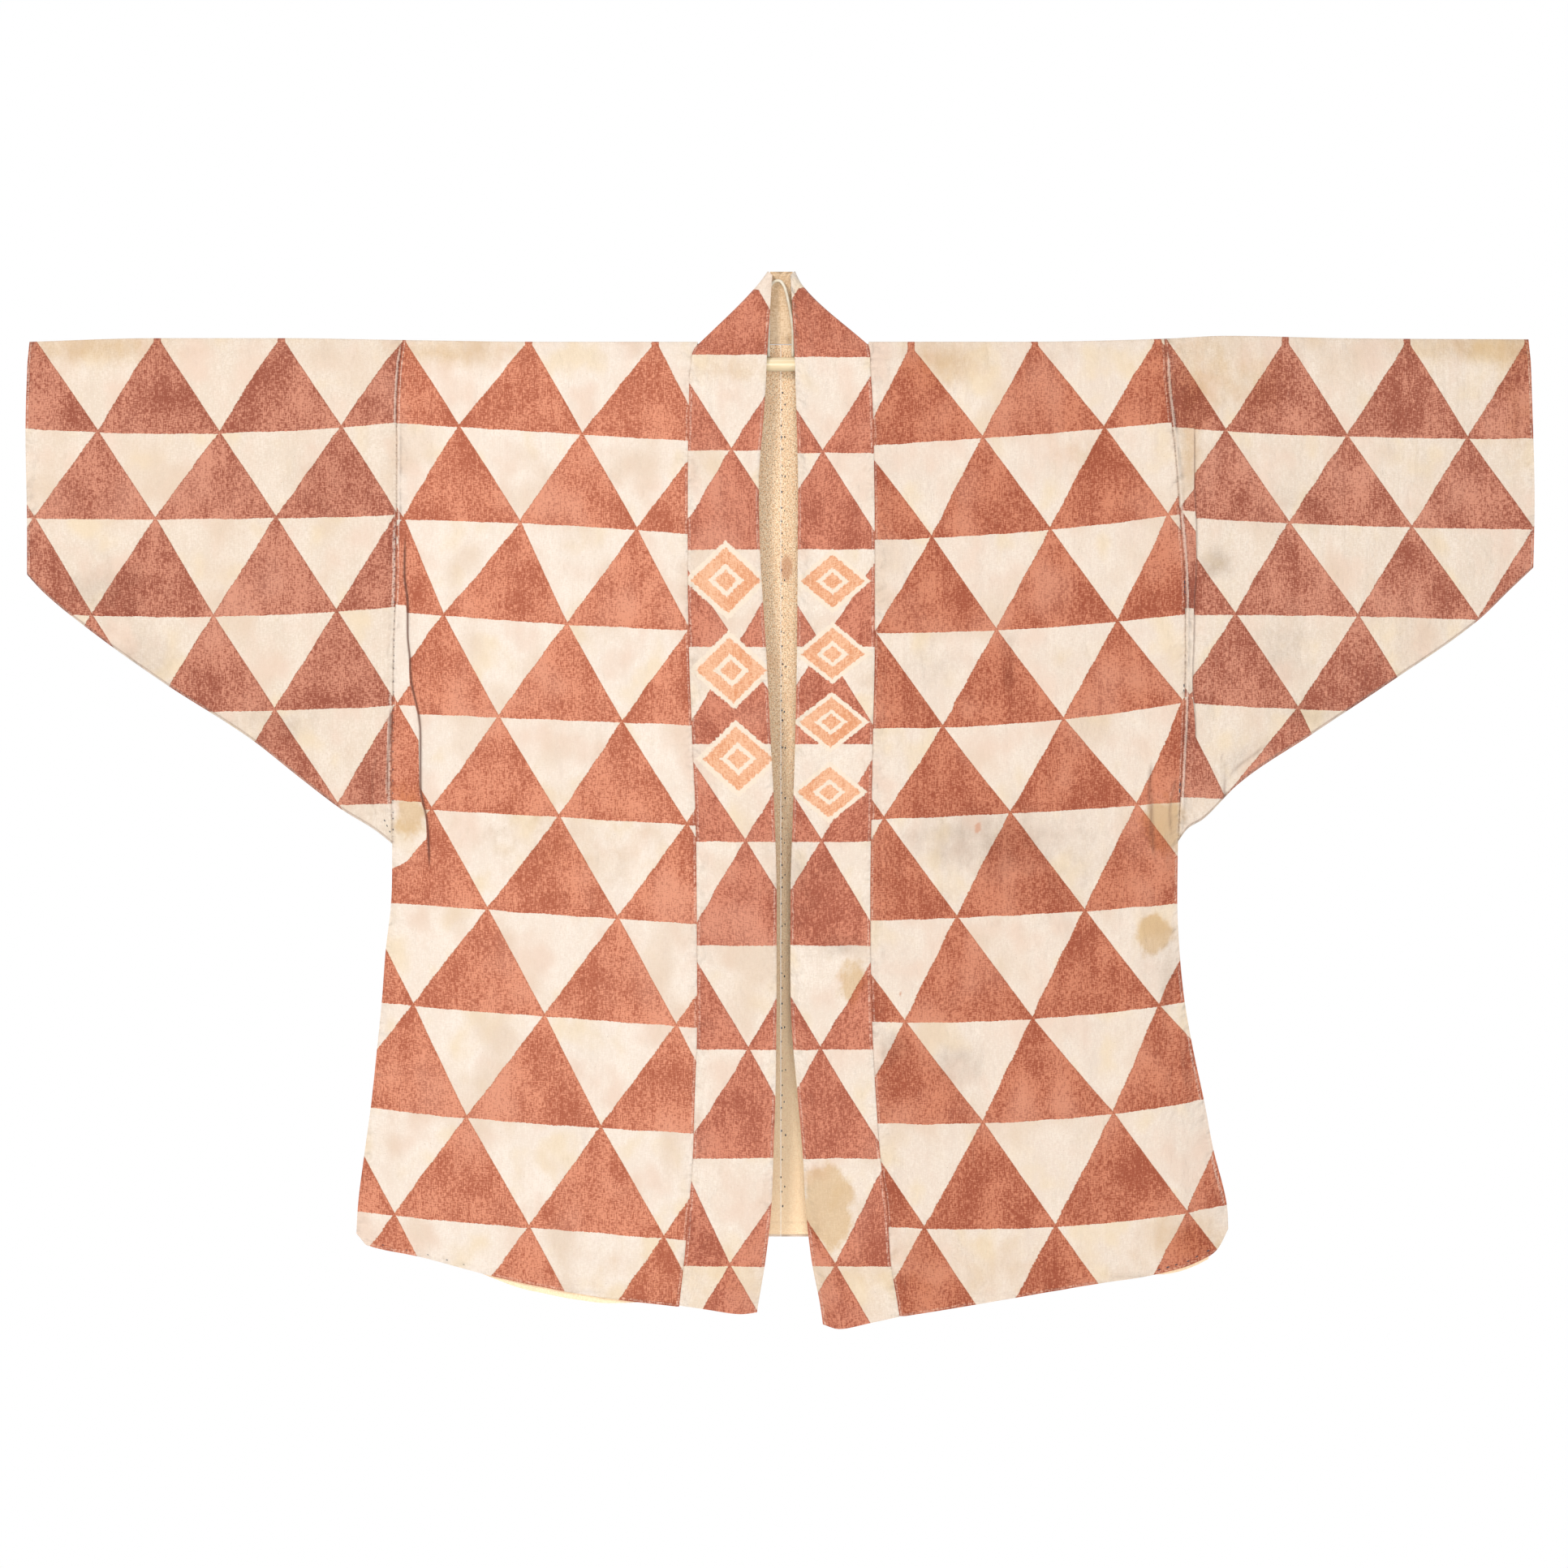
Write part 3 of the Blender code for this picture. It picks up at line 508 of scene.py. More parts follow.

# Marks of age: soft tan ageing, crisp tan stains, grey soil, orange spots, and dark lines of painted shade on
# the back band
Mark = namedtuple("Mark", "face kind x z half_width half_height strength")
MARKS = [
    Mark("front", "age", 138.0, -70.7, 34, 20, 0.9),
    Mark("front", "age", 352.2, -84.3, 38, 36, 0.75),
    Mark("front", "stain", 319.6, -457.0, 19, 24, 1.0),
    Mark("front", "stain", -310.8, -444.7, 17, 30, 0.7),
    Mark("front", "stain", 39.4, -774.5, 20, 34, 1.25),
    Mark("front", "stain", 59.8, -587.5, 14, 22, 0.75),
    Mark("front", "stain", 312.8, -546.7, 14, 15, 1.25),
    Mark("front", "age", 345.4, -801.7, 36, 17, 0.7),
    Mark("front", "age", -273.4, -60.5, 54, 14, 0.7),
    Mark("front", "age", -572.6, -57.1, 61, 15, 0.7),
    Mark("front", "age", 583.4, -57.1, 61, 14, 0.7),
    Mark("front", "age", 406.6, -91.1, 22, 30, 0.6),
    Mark("front", "age", 617.4, -104.7, 17, 75, 0.6),
    Mark("front", "age", 342.0, -145.5, 12, 45, 0.7),
    Mark("front", "age", 257.0, -145.5, 41, 27, 0.5),
    Mark("front", "age", -38.8, -74.1, 41, 12, 0.6),
    Mark("front", "soil", 365.8, -237.3, 16, 14, 1.0),
    Mark("front", "soil", 420.2, -308.7, 26, 36, 0.7),
    Mark("front", "soil", 192.4, -322.3, 10, 41, 0.6),
    Mark("front", "soil", 127.8, -322.3, 36, 20, 0.5),
    Mark("front", "soil", 148.2, -655.5, 30, 27, 0.7),
    Mark("front", "soil", 93.8, -641.9, 16, 18, 0.8),
    Mark("front", "soil", -565.8, -257.7, 50, 27, 0.7),
    Mark("front", "soil", -531.8, -315.5, 36, 27, 0.6),
    Mark("front", "soil", -423.0, -369.9, 44, 20, 0.6),
    Mark("front", "soil", -382.2, -165.9, 41, 41, 0.4),
    Mark("front", "soil", 325.0, -580.7, 14, 34, 0.6),
    Mark("front", "soil", 53.0, -556.9, 23, 10, 0.8),
    Mark("front", "soil", 440.6, -363.1, 30, 12, 0.7),
    Mark("front", "soil", -219.0, -465.1, 50, 27, 0.4),
    Mark("front", "soil", 433.8, -186.3, 44, 34, 0.5),
    Mark("front", "soil", 160.0, -466.0, 60, 26, 0.5),
    Mark("front", "soil", 10.0, -500.0, 34, 60, 0.6),
    Mark("front", "soil", 215.0, -485.0, 120, 75, 0.45),
    Mark("front", "age", -170.0, -470.0, 130, 60, 0.4),
    Mark("front", "age", 60.0, -835.0, 330, 50, 0.5),
    Mark("front", "spot", 165.2, -458.3, 4, 5, 1.0),
    Mark("front", "spot", 100.0, -598.0, 2, 3, 0.8),
    Mark("back", "spot", 4.8, -240.0, 6, 13, 1.0),
    # Painted shade: two dark lines on the back band along the wire's legs
    Mark("back", "dark", -10.9, -20.0, 1.3, 26, 0.35),
    Mark("back", "dark", 6.1, -22.0, 1.3, 26, 0.35),
    Mark("back", "age", 0.0, -110.0, 120, 26, 0.7),
    Mark("back", "age", -300.0, -450.0, 26, 34, 0.8),
    Mark("back", "age", 310.0, -452.0, 26, 34, 0.8),
    Mark("back", "age", 150.0, -760.0, 60, 28, 0.8),
    Mark("back", "age", -480.0, -64.0, 90, 16, 0.7),
    Mark("back", "age", 480.0, -64.0, 90, 16, 0.7),
    Mark("back", "soil", -140.0, -600.0, 60, 44, 0.6),
    Mark("back", "soil", 200.0, -420.0, 60, 50, 0.5),
    Mark("back", "soil", -420.0, -300.0, 50, 30, 0.6),
    Mark("back", "soil", 440.0, -300.0, 50, 30, 0.6),
    Mark("back", "soil", 40.0, -780.0, 90, 20, 0.6),
]
SHOULDER_AGE = 0.3
SHOULDER_AGE_DEPTH = 22.0
EDGE_WEAR_FROM = 1.7
EDGE_WEAR_WIDTH = 1.1
# Dark lines along the seams: their needle holes, with painted shade in the seams' crevices
SEAM_HOLES_AND_SHADE = 0.55
SEAM_HOLES_AND_SHADE_WIDTH = 0.6
# Painted shade along the sleeve's turned lower edge
UNDER_SHADE = 0.5
UNDER_SHADE_WIDTH = 0.9
# Painted shadow at the foot of the raised strip
STRIP_SHADOW = 0.4
STRIP_SHADOW_FROM = 0.7
STRIP_SHADOW_WIDTH = 0.7
PUCKER_SPREAD = 9.0
# Painted highlight along the crests of the sharp folds; the pipings' crests are lighter too, worn and with
# painted highlight
CREST_HIGHLIGHT = 0.8
CREST_WIDTH = 0.9

# Stitches: least and most spacing, stitch length and thread radius along a line on the front
Seam = namedtuple("Seam", "side spacing length radius lift points")
NAVY_SEAMS = [
    Seam("right", (5, 11), 1.5, 0.34, 0.1, [Point(-323.2, -205), Point(-324.0, -320), Point(-325.4, -466)]),
    Seam("right", (4, 6), 2.2, 0.5, 0.2, [Point(-332.5, -452), Point(-326.0, -466)]),
    Seam("left", (5, 5.5), 4.0, 0.55, 0.2, [Point(334.6, -421.5), Point(334.2, -432)]),
    Seam("left", (4, 4.5), 2.6, 0.4, 0.2, [Point(338.4, -252), Point(338.6, -262)]),
    Seam("left", (4, 4.5), 2.6, 0.4, 0.2, [Point(337.9, -339), Point(337.8, -348)]),
    Seam("left", (6, 11), 2.6, 0.42, 0.2, [Point(314, -829), Point(342, -821), Point(360, -812)]),
    Seam("right", (9, 22), 1.8, 0.34, 0.1, [Point(-340, -807), Point(-300, -814.5), Point(-250, -828)]),
]
# Stray stitches down the back lining's centre seam, in two uneven rows
CentreRow = namedtuple("CentreRow", "x spacing")
CENTRE_ROWS = [CentreRow(0.9, (8.0, 15.0)), CentreRow(3.4, (24.0, 45.0))]
CENTRE_TOP_Z = -88.0
CENTRE_LOW_Z = -792.0
CENTRE_DRIFT = 0.8
CENTRE_WAVE = 9.0
THREAD_PROUD = 0.1
STITCH_PIECE = 1.0
STITCH_SPACING = 20.0
STITCH_UNEVENNESS = 0.22

# The wire loop's arch, from the rod up and down to the rod again
WIRE_FOOT_Z = ROD_Z + ROD_RADIUS + WIRE_FOOT_GAP
WIRE_ARCH = [
    Point(-10.3, WIRE_FOOT_Z),
    Point(-10.3, -45), Point(-10.3, -27), Point(-10.2, -13), Point(-9.2, -6), Point(-7.4, -1.2),
    Point(-4.2, 1.1), Point(-0.6, 1.0), Point(2.2, -2.2), Point(4.4, -7.6), Point(6.2, -15),
    Point(8.0, -24), Point(9.6, -34), Point(10.3, -44),
    Point(10.3, WIRE_FOOT_Z),
]

# The weave. Real threads lie closer; they are drawn wider so that they show in a picture
THREAD_PITCH = 1.0
LINING_PITCH = 0.7
THREAD_LONG = 4.5
THREAD_WIDE = 3.5
PUCKER_SHARE = 1.5

# The dyed pattern, in shares of a pitch: how far triangles join at their corners, and edges blur
CORNER_BRIDGE = 0.014
EDGE_BLUR = 0.004
LOZENGE_TALL = 2.9
LOZENGE_RINGS = (1.36, 1.14, 0.62, 0.42)
LOZENGE_NICK = 0.16
LOZENGE_BLUR = 0.03

# The camera and the floor, in metres except for the lens and the sensor
LENS = 100.0
SENSOR = 36.0
VIEW_WIDTH = 1.3138
VIEW_CENTRE = (0.0027, 0.010, -0.4216)
FLOOR_Z = -1.5
FLOOR_HALF = 2.3
Lamp = namedtuple("Lamp", "name place target size power colour")
LAMPS = [
    Lamp("key", (-1.8, -2.5, 1.5), (0.0, 0.0, -0.4), 0.8, 60.0, "#FFFBF5"),
    Lamp("front", (0.3, -3.5, -0.3), (0.0, 0.0, -0.45), 1.0, 40.0, "#FFFDFA"),
    Lamp("fill", (2.6, -2.6, 0.2), (0.0, 0.0, -0.45), 2.0, 16.0, "#F8FAFF"),
    Lamp("back", (-0.8, 3.2, 1.4), (0.0, 0.0, -0.4), 2.0, 40.0, "#FFFCF8"),
]


def smooth(t):
    t = np.clip(t, 0.0, 1.0)
    return t * t * (3 - 2 * t)


def bell(distance, width):
    """1 at no distance, falling off smoothly to either side."""
    return np.exp(-((distance / width) ** 2))


def window(z, low, high, taper):
    """1 between two heights, fading to 0 at both."""
    return smooth((z - low) / taper) * smooth((high - z) / taper)


def curve(at, rows, key, value):
    """A smooth curve through one column of a table, read against another column."""
    keys = np.array([getattr(row, key) for row in rows], float)
    values = np.array([getattr(row, value) for row in rows], float)
    slopes = np.diff(values) / np.diff(keys)
    tangents = np.concatenate([slopes[:1], (slopes[1:] + slopes[:-1]) / 2, slopes[-1:]])
    turns = slopes[1:] * slopes[:-1] <= 0
    tangents[1:-1][turns] = 0
    at = np.clip(np.asarray(at, float), keys[0], keys[-1])
    i = np.clip(np.searchsorted(keys, at) - 1, 0, len(keys) - 2)
    step = keys[i + 1] - keys[i]
    t = (at - keys[i]) / step
    return (
        values[i] * (1 + 2 * t) * (1 - t) ** 2
        + values[i + 1] * t * t * (3 - 2 * t)
        + step * (tangents[i] * t * (1 - t) ** 2 - tangents[i + 1] * t * t * (1 - t))
    )


def sign(side):
    return -1.0 if side == "right" else 1.0


def fold_height(x):
    return curve(x, SHOULDER, "x", "z")


def armhole(side, z):
    return curve(z, ARMHOLE, "z", side)


def outer_edge(side, z):
    """The body's outer edge: the armhole above the underarm, the side seam below."""
    side_seam = curve(z, SIDE_SEAM, "z", side)
    return np.where(z > SIDE_SEAM[-1].z, armhole(side, z), side_seam)


def creases(rows, x, z):
    """What the soft folds add to the depth at a point."""
    total = np.zeros(np.broadcast(x, z).shape)
    for row in rows:
        along = np.array([row.x_low - row.x_top, row.z_low - row.z_top], float)
        length = math.hypot(*along)
        along /= length
        t = ((x - row.x_top) * along[0] + (z - row.z_top) * along[1]) / length
        across = (x - row.x_top) * along[1] - (z - row.z_top) * along[0]
        ends = smooth(t / CREASE_TAPER) * smooth((1 - t) / CREASE_TAPER)
        total += row.rise * ends * bell(across, row.width)
    return total


def at_fold(fold, x, z):
    """How far a point lies past a sharp fold, and how strong the fold is at that height."""
    ends = window(z, fold.path[0].z, fold.path[-1].z, fold.taper)
    return x - curve(z, fold.path, "z", "x"), ends


def fold_lines(x, z):
    """What the sharp folds add to the depth at a point."""
    total = np.zeros(x.shape)
    for fold in FOLD_LINES:
        past, ends = at_fold(fold, x, z)
        width = np.where(past > 0, fold.high_x_width, fold.low_x_width)
        total += fold.rise * ends * bell(past, width)
    return total


def from_closed_edge(side, x, z):
    """How far a point is from the seam where front and back lie together."""
    s = sign(side)
    seam = curve(x, SLEEVE_SEAM[side], "x", "z")
    on_sleeve = s * x > s * armhole(side, z)
    inward = np.maximum(s * (outer_edge(side, z) - x), 0)
    above = np.maximum(SLANT * (z - UNDERARM_Z[side]), 0)
    at_sleeve = on_sleeve & (z > UNDERARM_Z[side] - UNDERARM_REACH)
    return np.where(at_sleeve, SLANT * (z - seam), np.hypot(inward, above))


def uneven(at, wave, phase):
    """A wave of uneven length and height, between -1 and 1."""
    drift = DRIFT * math.sin(phase) * np.sin(at / (DRIFT_LENGTH * wave) + phase)
    swell = 1 - SWELL + SWELL * np.sin(at / (SWELL_LENGTH * wave) + SWELL_PHASE * phase)
    return np.sin(at / wave + drift) * swell


def puckered(puckers, at, away):
    """The height of a row of puckers at a place along it and a distance from it."""
    return puckers.rise * uneven(at, puckers.wave, puckers.phase) * np.exp(-away / puckers.reach)


def seam_relief(face, side, x, z):
    """Dips, puckers and raised strips beside the armhole and the collar seam."""
    inward = sign(side) * (armhole(side, z) - x)
    relief = puckered(ARM_PUCKERS[side], z, np.abs(inward)) - ARM_DIP * bell(inward, ARM_DIP_WIDTH)
    for piping in PIPINGS:
        if piping.side == side:
            ends = window(z, piping.low, piping.high, STRIP_TAPER)
            relief += piping.rise * ends * bell(inward - piping.offset, PIPING_WIDTH)
    if side == "left" and face == "front":
        ends = window(z, STRIP[0].z, STRIP[-1].z, STRIP_TAPER)
        within = smooth((curve(z, STRIP, "z", "x") - x) / STRIP_STEP + 0.5)
        relief += STRIP_RISE * ends * within * smooth(-inward / STRIP_FADE)
    relief = np.where(z > UNDERARM_Z[side], relief, 0.0)
    if face == "front":
        seam = x - curve(z, COLLAR, "z", side + "_seam")
        relief += puckered(COLLAR_PUCKERS, z, np.abs(seam)) - COLLAR_DIP * bell(seam, COLLAR_DIP_WIDTH)
    return relief


def hem_relief(face, side, x, z):
    """Puckers along the hem and the sleeve's lower seam."""
    s = sign(side)
    rows = FRONT_HEM[side] if face == "front" else BACK_HEM
    at_hem = puckered(HEM_PUCKERS, x, np.maximum(z - curve(x, rows, "x", "z"), 0))
    seam_up = np.maximum(z - curve(x, SLEEVE_SEAM[side], "x", "z"), 0)
    on_sleeve = s * x > s * armhole(side, z)
    return np.where(on_sleeve, puckered(SLEEVE_PUCKERS, x, seam_up), at_hem)


def sway(x, z):
    """The gentle unevenness of cloth that hangs."""
    broad, fine = [
        math.prod(np.sin(x / wave.across + z / wave.down + wave.phase) for wave in pair)
        for pair in (BROAD_SWAY, FINE_SWAY)
    ]
    return SWAY * (broad + FINE_SHARE * fine)


def depth(face, side, x, z):
    """How far the outer face of the cloth lies from the middle plane, below the fold."""
    x, z = np.broadcast_arrays(np.asarray(x, float), np.asarray(z, float))
    drop = np.maximum(fold_height(x) - z, 0)
    pitch = FRONT_PITCH if face == "front" else BACK_PITCH
    start = NOSE_RADIUS * (1 - math.sin(pitch))
    roof = NOSE_RADIUS * math.cos(pitch) + (drop - start) * math.tan(pitch)
    open_depth = curve(drop, OPEN_DEPTH, "drop", face)
    between = np.clip(0.5 + (open_depth - roof) / (2 * ROOF_BLEND), 0, 1)
    body = open_depth * (1 - between) + roof * between - ROOF_BLEND * between * (1 - between) / 2
    if face == "back":
        level = curve(ROD_DEPTH_BELOW_FOLD, OPEN_DEPTH, "drop", "back")
        rise = np.clip(drop / ROD_DEPTH_BELOW_FOLD, 0, 1)
        upright = NECK_DEPTH + (level - NECK_DEPTH) * rise
        neck = smooth((abs(NECK_POINT[side]) - np.abs(x)) / NECK_SPREAD)
        body = np.where(drop < ROD_DEPTH_BELOW_FOLD, body + (upright - body) * neck, body)
    edge = np.maximum(from_closed_edge(side, x, z), 0)
    opened = 1 - (1 - np.clip(edge / CLOSING, 0, 1)) ** 2
    rows = FRONT_CREASES if face == "front" else BACK_CREASES
    fine_rows = FRONT_FINE if face == "front" else BACK_FINE
    clear_of_rod = smooth((drop - ROD_DEPTH_BELOW_FOLD - ROD_CLEARANCE) / ROD_EASE)
    fold = creases(rows + fine_rows, x, z) + sway(x, z)
    if face == "front":
        fold += fold_lines(x, z)
    fold = fold * clear_of_rod + hem_relief(face, side, x, z)
    fold += seam_relief(face, side, x, z) * smooth(drop / SEAM_START)
    fold *= np.clip(edge / CREASE_EDGE_FADE, 0, 1)
    return PRESSED + np.maximum((body - PRESSED) * opened + fold, 0.0)


def crowded(count):
    """Shares from 0 to 1 that lie closer together at both ends."""
    share = np.linspace(0, 1, count + 1)
    return share - EDGE_CROWDING * np.sin(2 * math.pi * share) / (2 * math.pi)


def grid_x(piece, k, count, z, edge, inner):
    """x of a grid's column number k between two edges, with fine columns about a sharp fold."""
    if piece not in GUIDES:
        return edge + (inner - edge) * crowded(count)[k]
    path = GUIDES[piece]
    side = piece.split("_")[1]
    above = edge + path[-1].x - armhole(side, path[-1].z)
    guide = np.where(z > path[-1].z, above, curve(z, path, "z", "x"))
    first, last = guide + GUIDE_OFFSETS[0], guide + GUIDE_OFFSETS[-1]
    if k < GUIDE_CELLS:
        return edge + (first - edge) * k / GUIDE_CELLS
    k -= GUIDE_CELLS
    if k < len(GUIDE_OFFSETS):
        return guide + GUIDE_OFFSETS[k]
    rest = count - GUIDE_CELLS - len(GUIDE_OFFSETS) + 1
    return last + (inner - last) * crowded(rest)[k - len(GUIDE_OFFSETS) + 1]


def shell(outer, thickness, cells=None, closed=False):
    """The same grid of points, moved in by a thickness in the plane of y and z."""
    ahead = np.roll(outer, -1, 0) if closed else np.concatenate([outer[1:], outer[-1:]])
    behind = np.roll(outer, 1, 0) if closed else np.concatenate([outer[:1], outer[:-1]])
    step = (ahead - behind)[..., 1:]
    if cells is not None:
        used = np.zeros(outer.shape[:2], bool)
        for di in (0, 1):
            for dj in (0, 1):
                used[cells[:, 0] + di, cells[:, 1] + dj] = True
        lone = used & ~np.concatenate([np.zeros((1, used.shape[1]), bool), used[:-1]])
        step[lone] = (ahead - outer)[..., 1:][lone]
    step /= np.linalg.norm(step, axis=-1, keepdims=True)
    normal = np.stack([np.zeros(step.shape[:2]), -step[..., 1], step[..., 0]], -1)
    return outer - normal * thickness


def cloth(name, outer, inner, maps, marks, material, cells=None, closed=False, split=None, flip=False):
    """A closed wall from two grids of points that face each other.

    maps are UV grids, one row longer than the points where the wall is closed or split at a
    row. marks are numbers per point; "inside" is 1 on the inner face.
    """
    rows, columns = outer.shape[:2]
    if cells is None:
        i, j = np.meshgrid(np.arange(rows if closed else rows - 1), np.arange(columns - 1), indexing="ij")
        cells = np.stack([i.ravel(), j.ravel()], 1)
    i, j = cells.T
    i2 = (i + 1) % rows
    spot = i if split is None else i + (i >= split)
    count = rows * columns
    quads = np.stack([i * columns + j, i * columns + j + 1, i2 * columns + j + 1, i2 * columns + j], 1)
    spots = np.stack(
        [
            spot * columns + j,
            spot * columns + j + 1,
            (spot + 1) * columns + j + 1,
            (spot + 1) * columns + j,
        ],
        1,
    )
    starts, ends = quads.ravel(), np.roll(quads, -1, 1).ravel()
    spot_starts, spot_ends = spots.ravel(), np.roll(spots, -1, 1).ravel()
    rim = ~np.isin(starts * count + ends, ends * count + starts)
    a, b = starts[rim], ends[rim]
    sa, sb = spot_starts[rim], spot_ends[rim]
    faces = np.concatenate([quads, quads[:, ::-1] + count, np.stack([b, a, a + count, b + count], 1)])
    places = np.concatenate([spots, spots[:, ::-1], np.stack([sb, sa, sa, sb], 1)])
    if flip:
        faces, places = faces[:, ::-1], places[:, ::-1]
    used, faces = np.unique(faces, return_inverse=True)
    faces = faces.reshape(-1, 4)
    points = np.concatenate([outer.reshape(-1, 3), inner.reshape(-1, 3)])[used] * MM

    mesh = bpy.data.meshes.new(name)
    mesh.from_pydata(points.tolist(), [], faces.tolist())
    for label, grid in maps.items():
        layer = mesh.uv_layers.new(name=label)
        layer.data.foreach_set("uv", grid.reshape(-1, 2)[places.ravel()].astype(np.float32).ravel())
    inside = np.concatenate([np.zeros(count), np.ones(count)])
    for label, grid in {**marks, "inside": None}.items():
        values = inside if grid is None else np.tile(grid.ravel(), 2)
        layer = mesh.attributes.new(label, "FLOAT", "POINT")
        layer.data.foreach_set("value", values[used].astype(np.float32))
    mesh.shade_smooth()
    mesh.set_sharp_from_angle(angle=SHARP_ANGLE)
    mesh.materials.append(material)
    thing = bpy.data.objects.new(name, mesh)
    bpy.context.collection.objects.link(thing)
    return thing


def lattice(panel, x, z):
    """Where a point lies among the pattern's rows: corners at whole and half u, lines at whole v."""
    x0, x1, x2 = panel.xs
    near = (x - x1) * (x - x2) / ((x0 - x1) * (x0 - x2))
    middle = (x - x0) * (x - x2) / ((x1 - x0) * (x1 - x2))
    far = (x - x0) * (x - x1) / ((x2 - x0) * (x2 - x1))
    levels = np.stack(
        [row.z_low_x * near + row.z_middle * middle + row.z_high_x * far for row in panel.lines]
    )
    us = np.stack([row.u + (x - row.x) / row.pitch for row in panel.lines])
    k = np.clip((levels >= z).sum(0) - 1, 0, len(panel.lines) - 2)[None]
    top, low = np.take_along_axis(levels, k, 0)[0], np.take_along_axis(levels, k + 1, 0)[0]
    u_top, u_low = np.take_along_axis(us, k, 0)[0], np.take_along_axis(us, k + 1, 0)[0]
    t = np.clip((top - z) / (top - low), np.where(k[0] == 0, TOP_ROW_SHARE, 0.0), 1.0)
    return np.stack([u_top + (u_low - u_top) * t, k[0] + t], -1)


def shift_pleat(piece, pattern, x, y, z):
    """Moves the pattern on the seam's side of a pleat, as if the fold hid part of the cloth."""
    if piece in GUIDES:
        path = GUIDES[piece]
        ends = window(z, path[0].z, path[-1].z, SHIFT_TAPER)
        moved = np.where((y < 0) & (x < curve(z, path, "z", "x")), ends, 0.0)
        pattern += moved[..., None] * np.array(PLEAT_SHIFTS[piece])


def back_panel(front):
    """The back's rows: the front's top line, then even rows below it."""
    top = front.lines[0]
    lines = []
    for k in range(BACK_LINES):
        half, z = 0.5 * (k % 2), top.z_middle - BACK_PITCH_Z * k
        lines.append(Line(half, top.x + BACK_PITCH_X * half, BACK_PITCH_X, z, z, z))
    return Panel(front.xs, lines)


def run_length(grid):
    """How far each point lies along its column."""
    steps = np.linalg.norm(np.diff(grid, axis=0), axis=-1)
    return np.concatenate([np.zeros((1, grid.shape[1])), np.cumsum(steps, 0)])


def marks_at(outer, edge, seam):
    """Age, stains, soil, worn edges, and painted shade and highlight at the seams and folds at each point,
    from the distance to any edge and to a seam.
    """
    x, y, z = np.moveaxis(outer, -1, 0)
    marks = {kind: np.zeros(x.shape) for kind in ("age", "stain", "soil", "spot", "dark", "fold")}
    for mark in MARKS:
        on_face = y < 0 if mark.face == "front" else y >= 0
        patch = mark.strength * bell(x - mark.x, mark.half_width) * bell(z - mark.z, mark.half_height)
        marks[mark.kind] += np.where(on_face, patch, 0)
    drop = np.maximum(fold_height(x) - z, 0)
    marks["age"] += SHOULDER_AGE * np.exp(-drop / SHOULDER_AGE_DEPTH)
    marks["wear"] = bell(edge - EDGE_WEAR_FROM, EDGE_WEAR_WIDTH)
    # Needle holes and painted shade along the seam
    marks["dark"] += SEAM_HOLES_AND_SHADE * bell(seam, SEAM_HOLES_AND_SHADE_WIDTH)
    marks["pucker"] = np.exp(-np.minimum(seam, edge) / PUCKER_SPREAD)
    # Painted shadow at the foot of each sharp fold
    for fold in FOLD_LINES:
        past, ends = at_fold(fold, x, z)
        foot = fold.dark * ends * bell(past - fold.foot, fold.dark_width)
        marks["fold"] += np.where(y < 0, foot, 0)
        # Painted highlight along the crest of each sharp fold
        marks["wear"] += np.where(y < 0, CREST_HIGHLIGHT * ends * bell(past, CREST_WIDTH), 0)
    # Painted shadow at the foot of the raised strip beside the left armhole
    on_strip = (z > STRIP[0].z) & (z < STRIP[-1].z) & (y < 0)
    past = x - curve(z, STRIP, "z", "x")
    marks["fold"] += np.where(on_strip, STRIP_SHADOW * bell(past - STRIP_SHADOW_FROM, STRIP_SHADOW_WIDTH), 0)
    # The pipings' crests: worn, and with a painted highlight
    for piping in PIPINGS:
        inward = sign(piping.side) * (armhole(piping.side, z) - x)
        crest = window(z, piping.low, piping.high, STRIP_TAPER) * bell(inward - piping.offset, CREST_WIDTH)
        marks["wear"] += np.where(y < 0, crest, 0)
    return marks


def fold_rows(x_at, fold_x, low_z, side, face, rows):
    """The points of one column from the fold down to the hem, on the front or the back."""
    top = float(fold_height(fold_x))
    first, last = top - ROOF_DROPS[-1], low_z + HEM_LIFTS[0]
    share = np.arange(1, rows + 1) / (rows + 1)
    zs = np.concatenate([top - ROOF_DROPS, first + (last - first) * share, low_z + HEM_LIFTS])
    xs = x_at(zs)
    out = depth(face, side, xs, zs)
    return np.stack([xs, -out if face == "front" else out, zs], -1)


def nose(x):
    """The rounded fold: points from the front round to the back."""
    top = float(fold_height(x))
    turns = np.radians([-a for a in NOSE_ANGLES] + list(reversed(NOSE_ANGLES))[1:])
    rise = top - NOSE_RADIUS * (1 - np.cos(turns))
    return np.stack([np.full(turns.shape, x), NOSE_RADIUS * np.sin(turns), rise], -1)


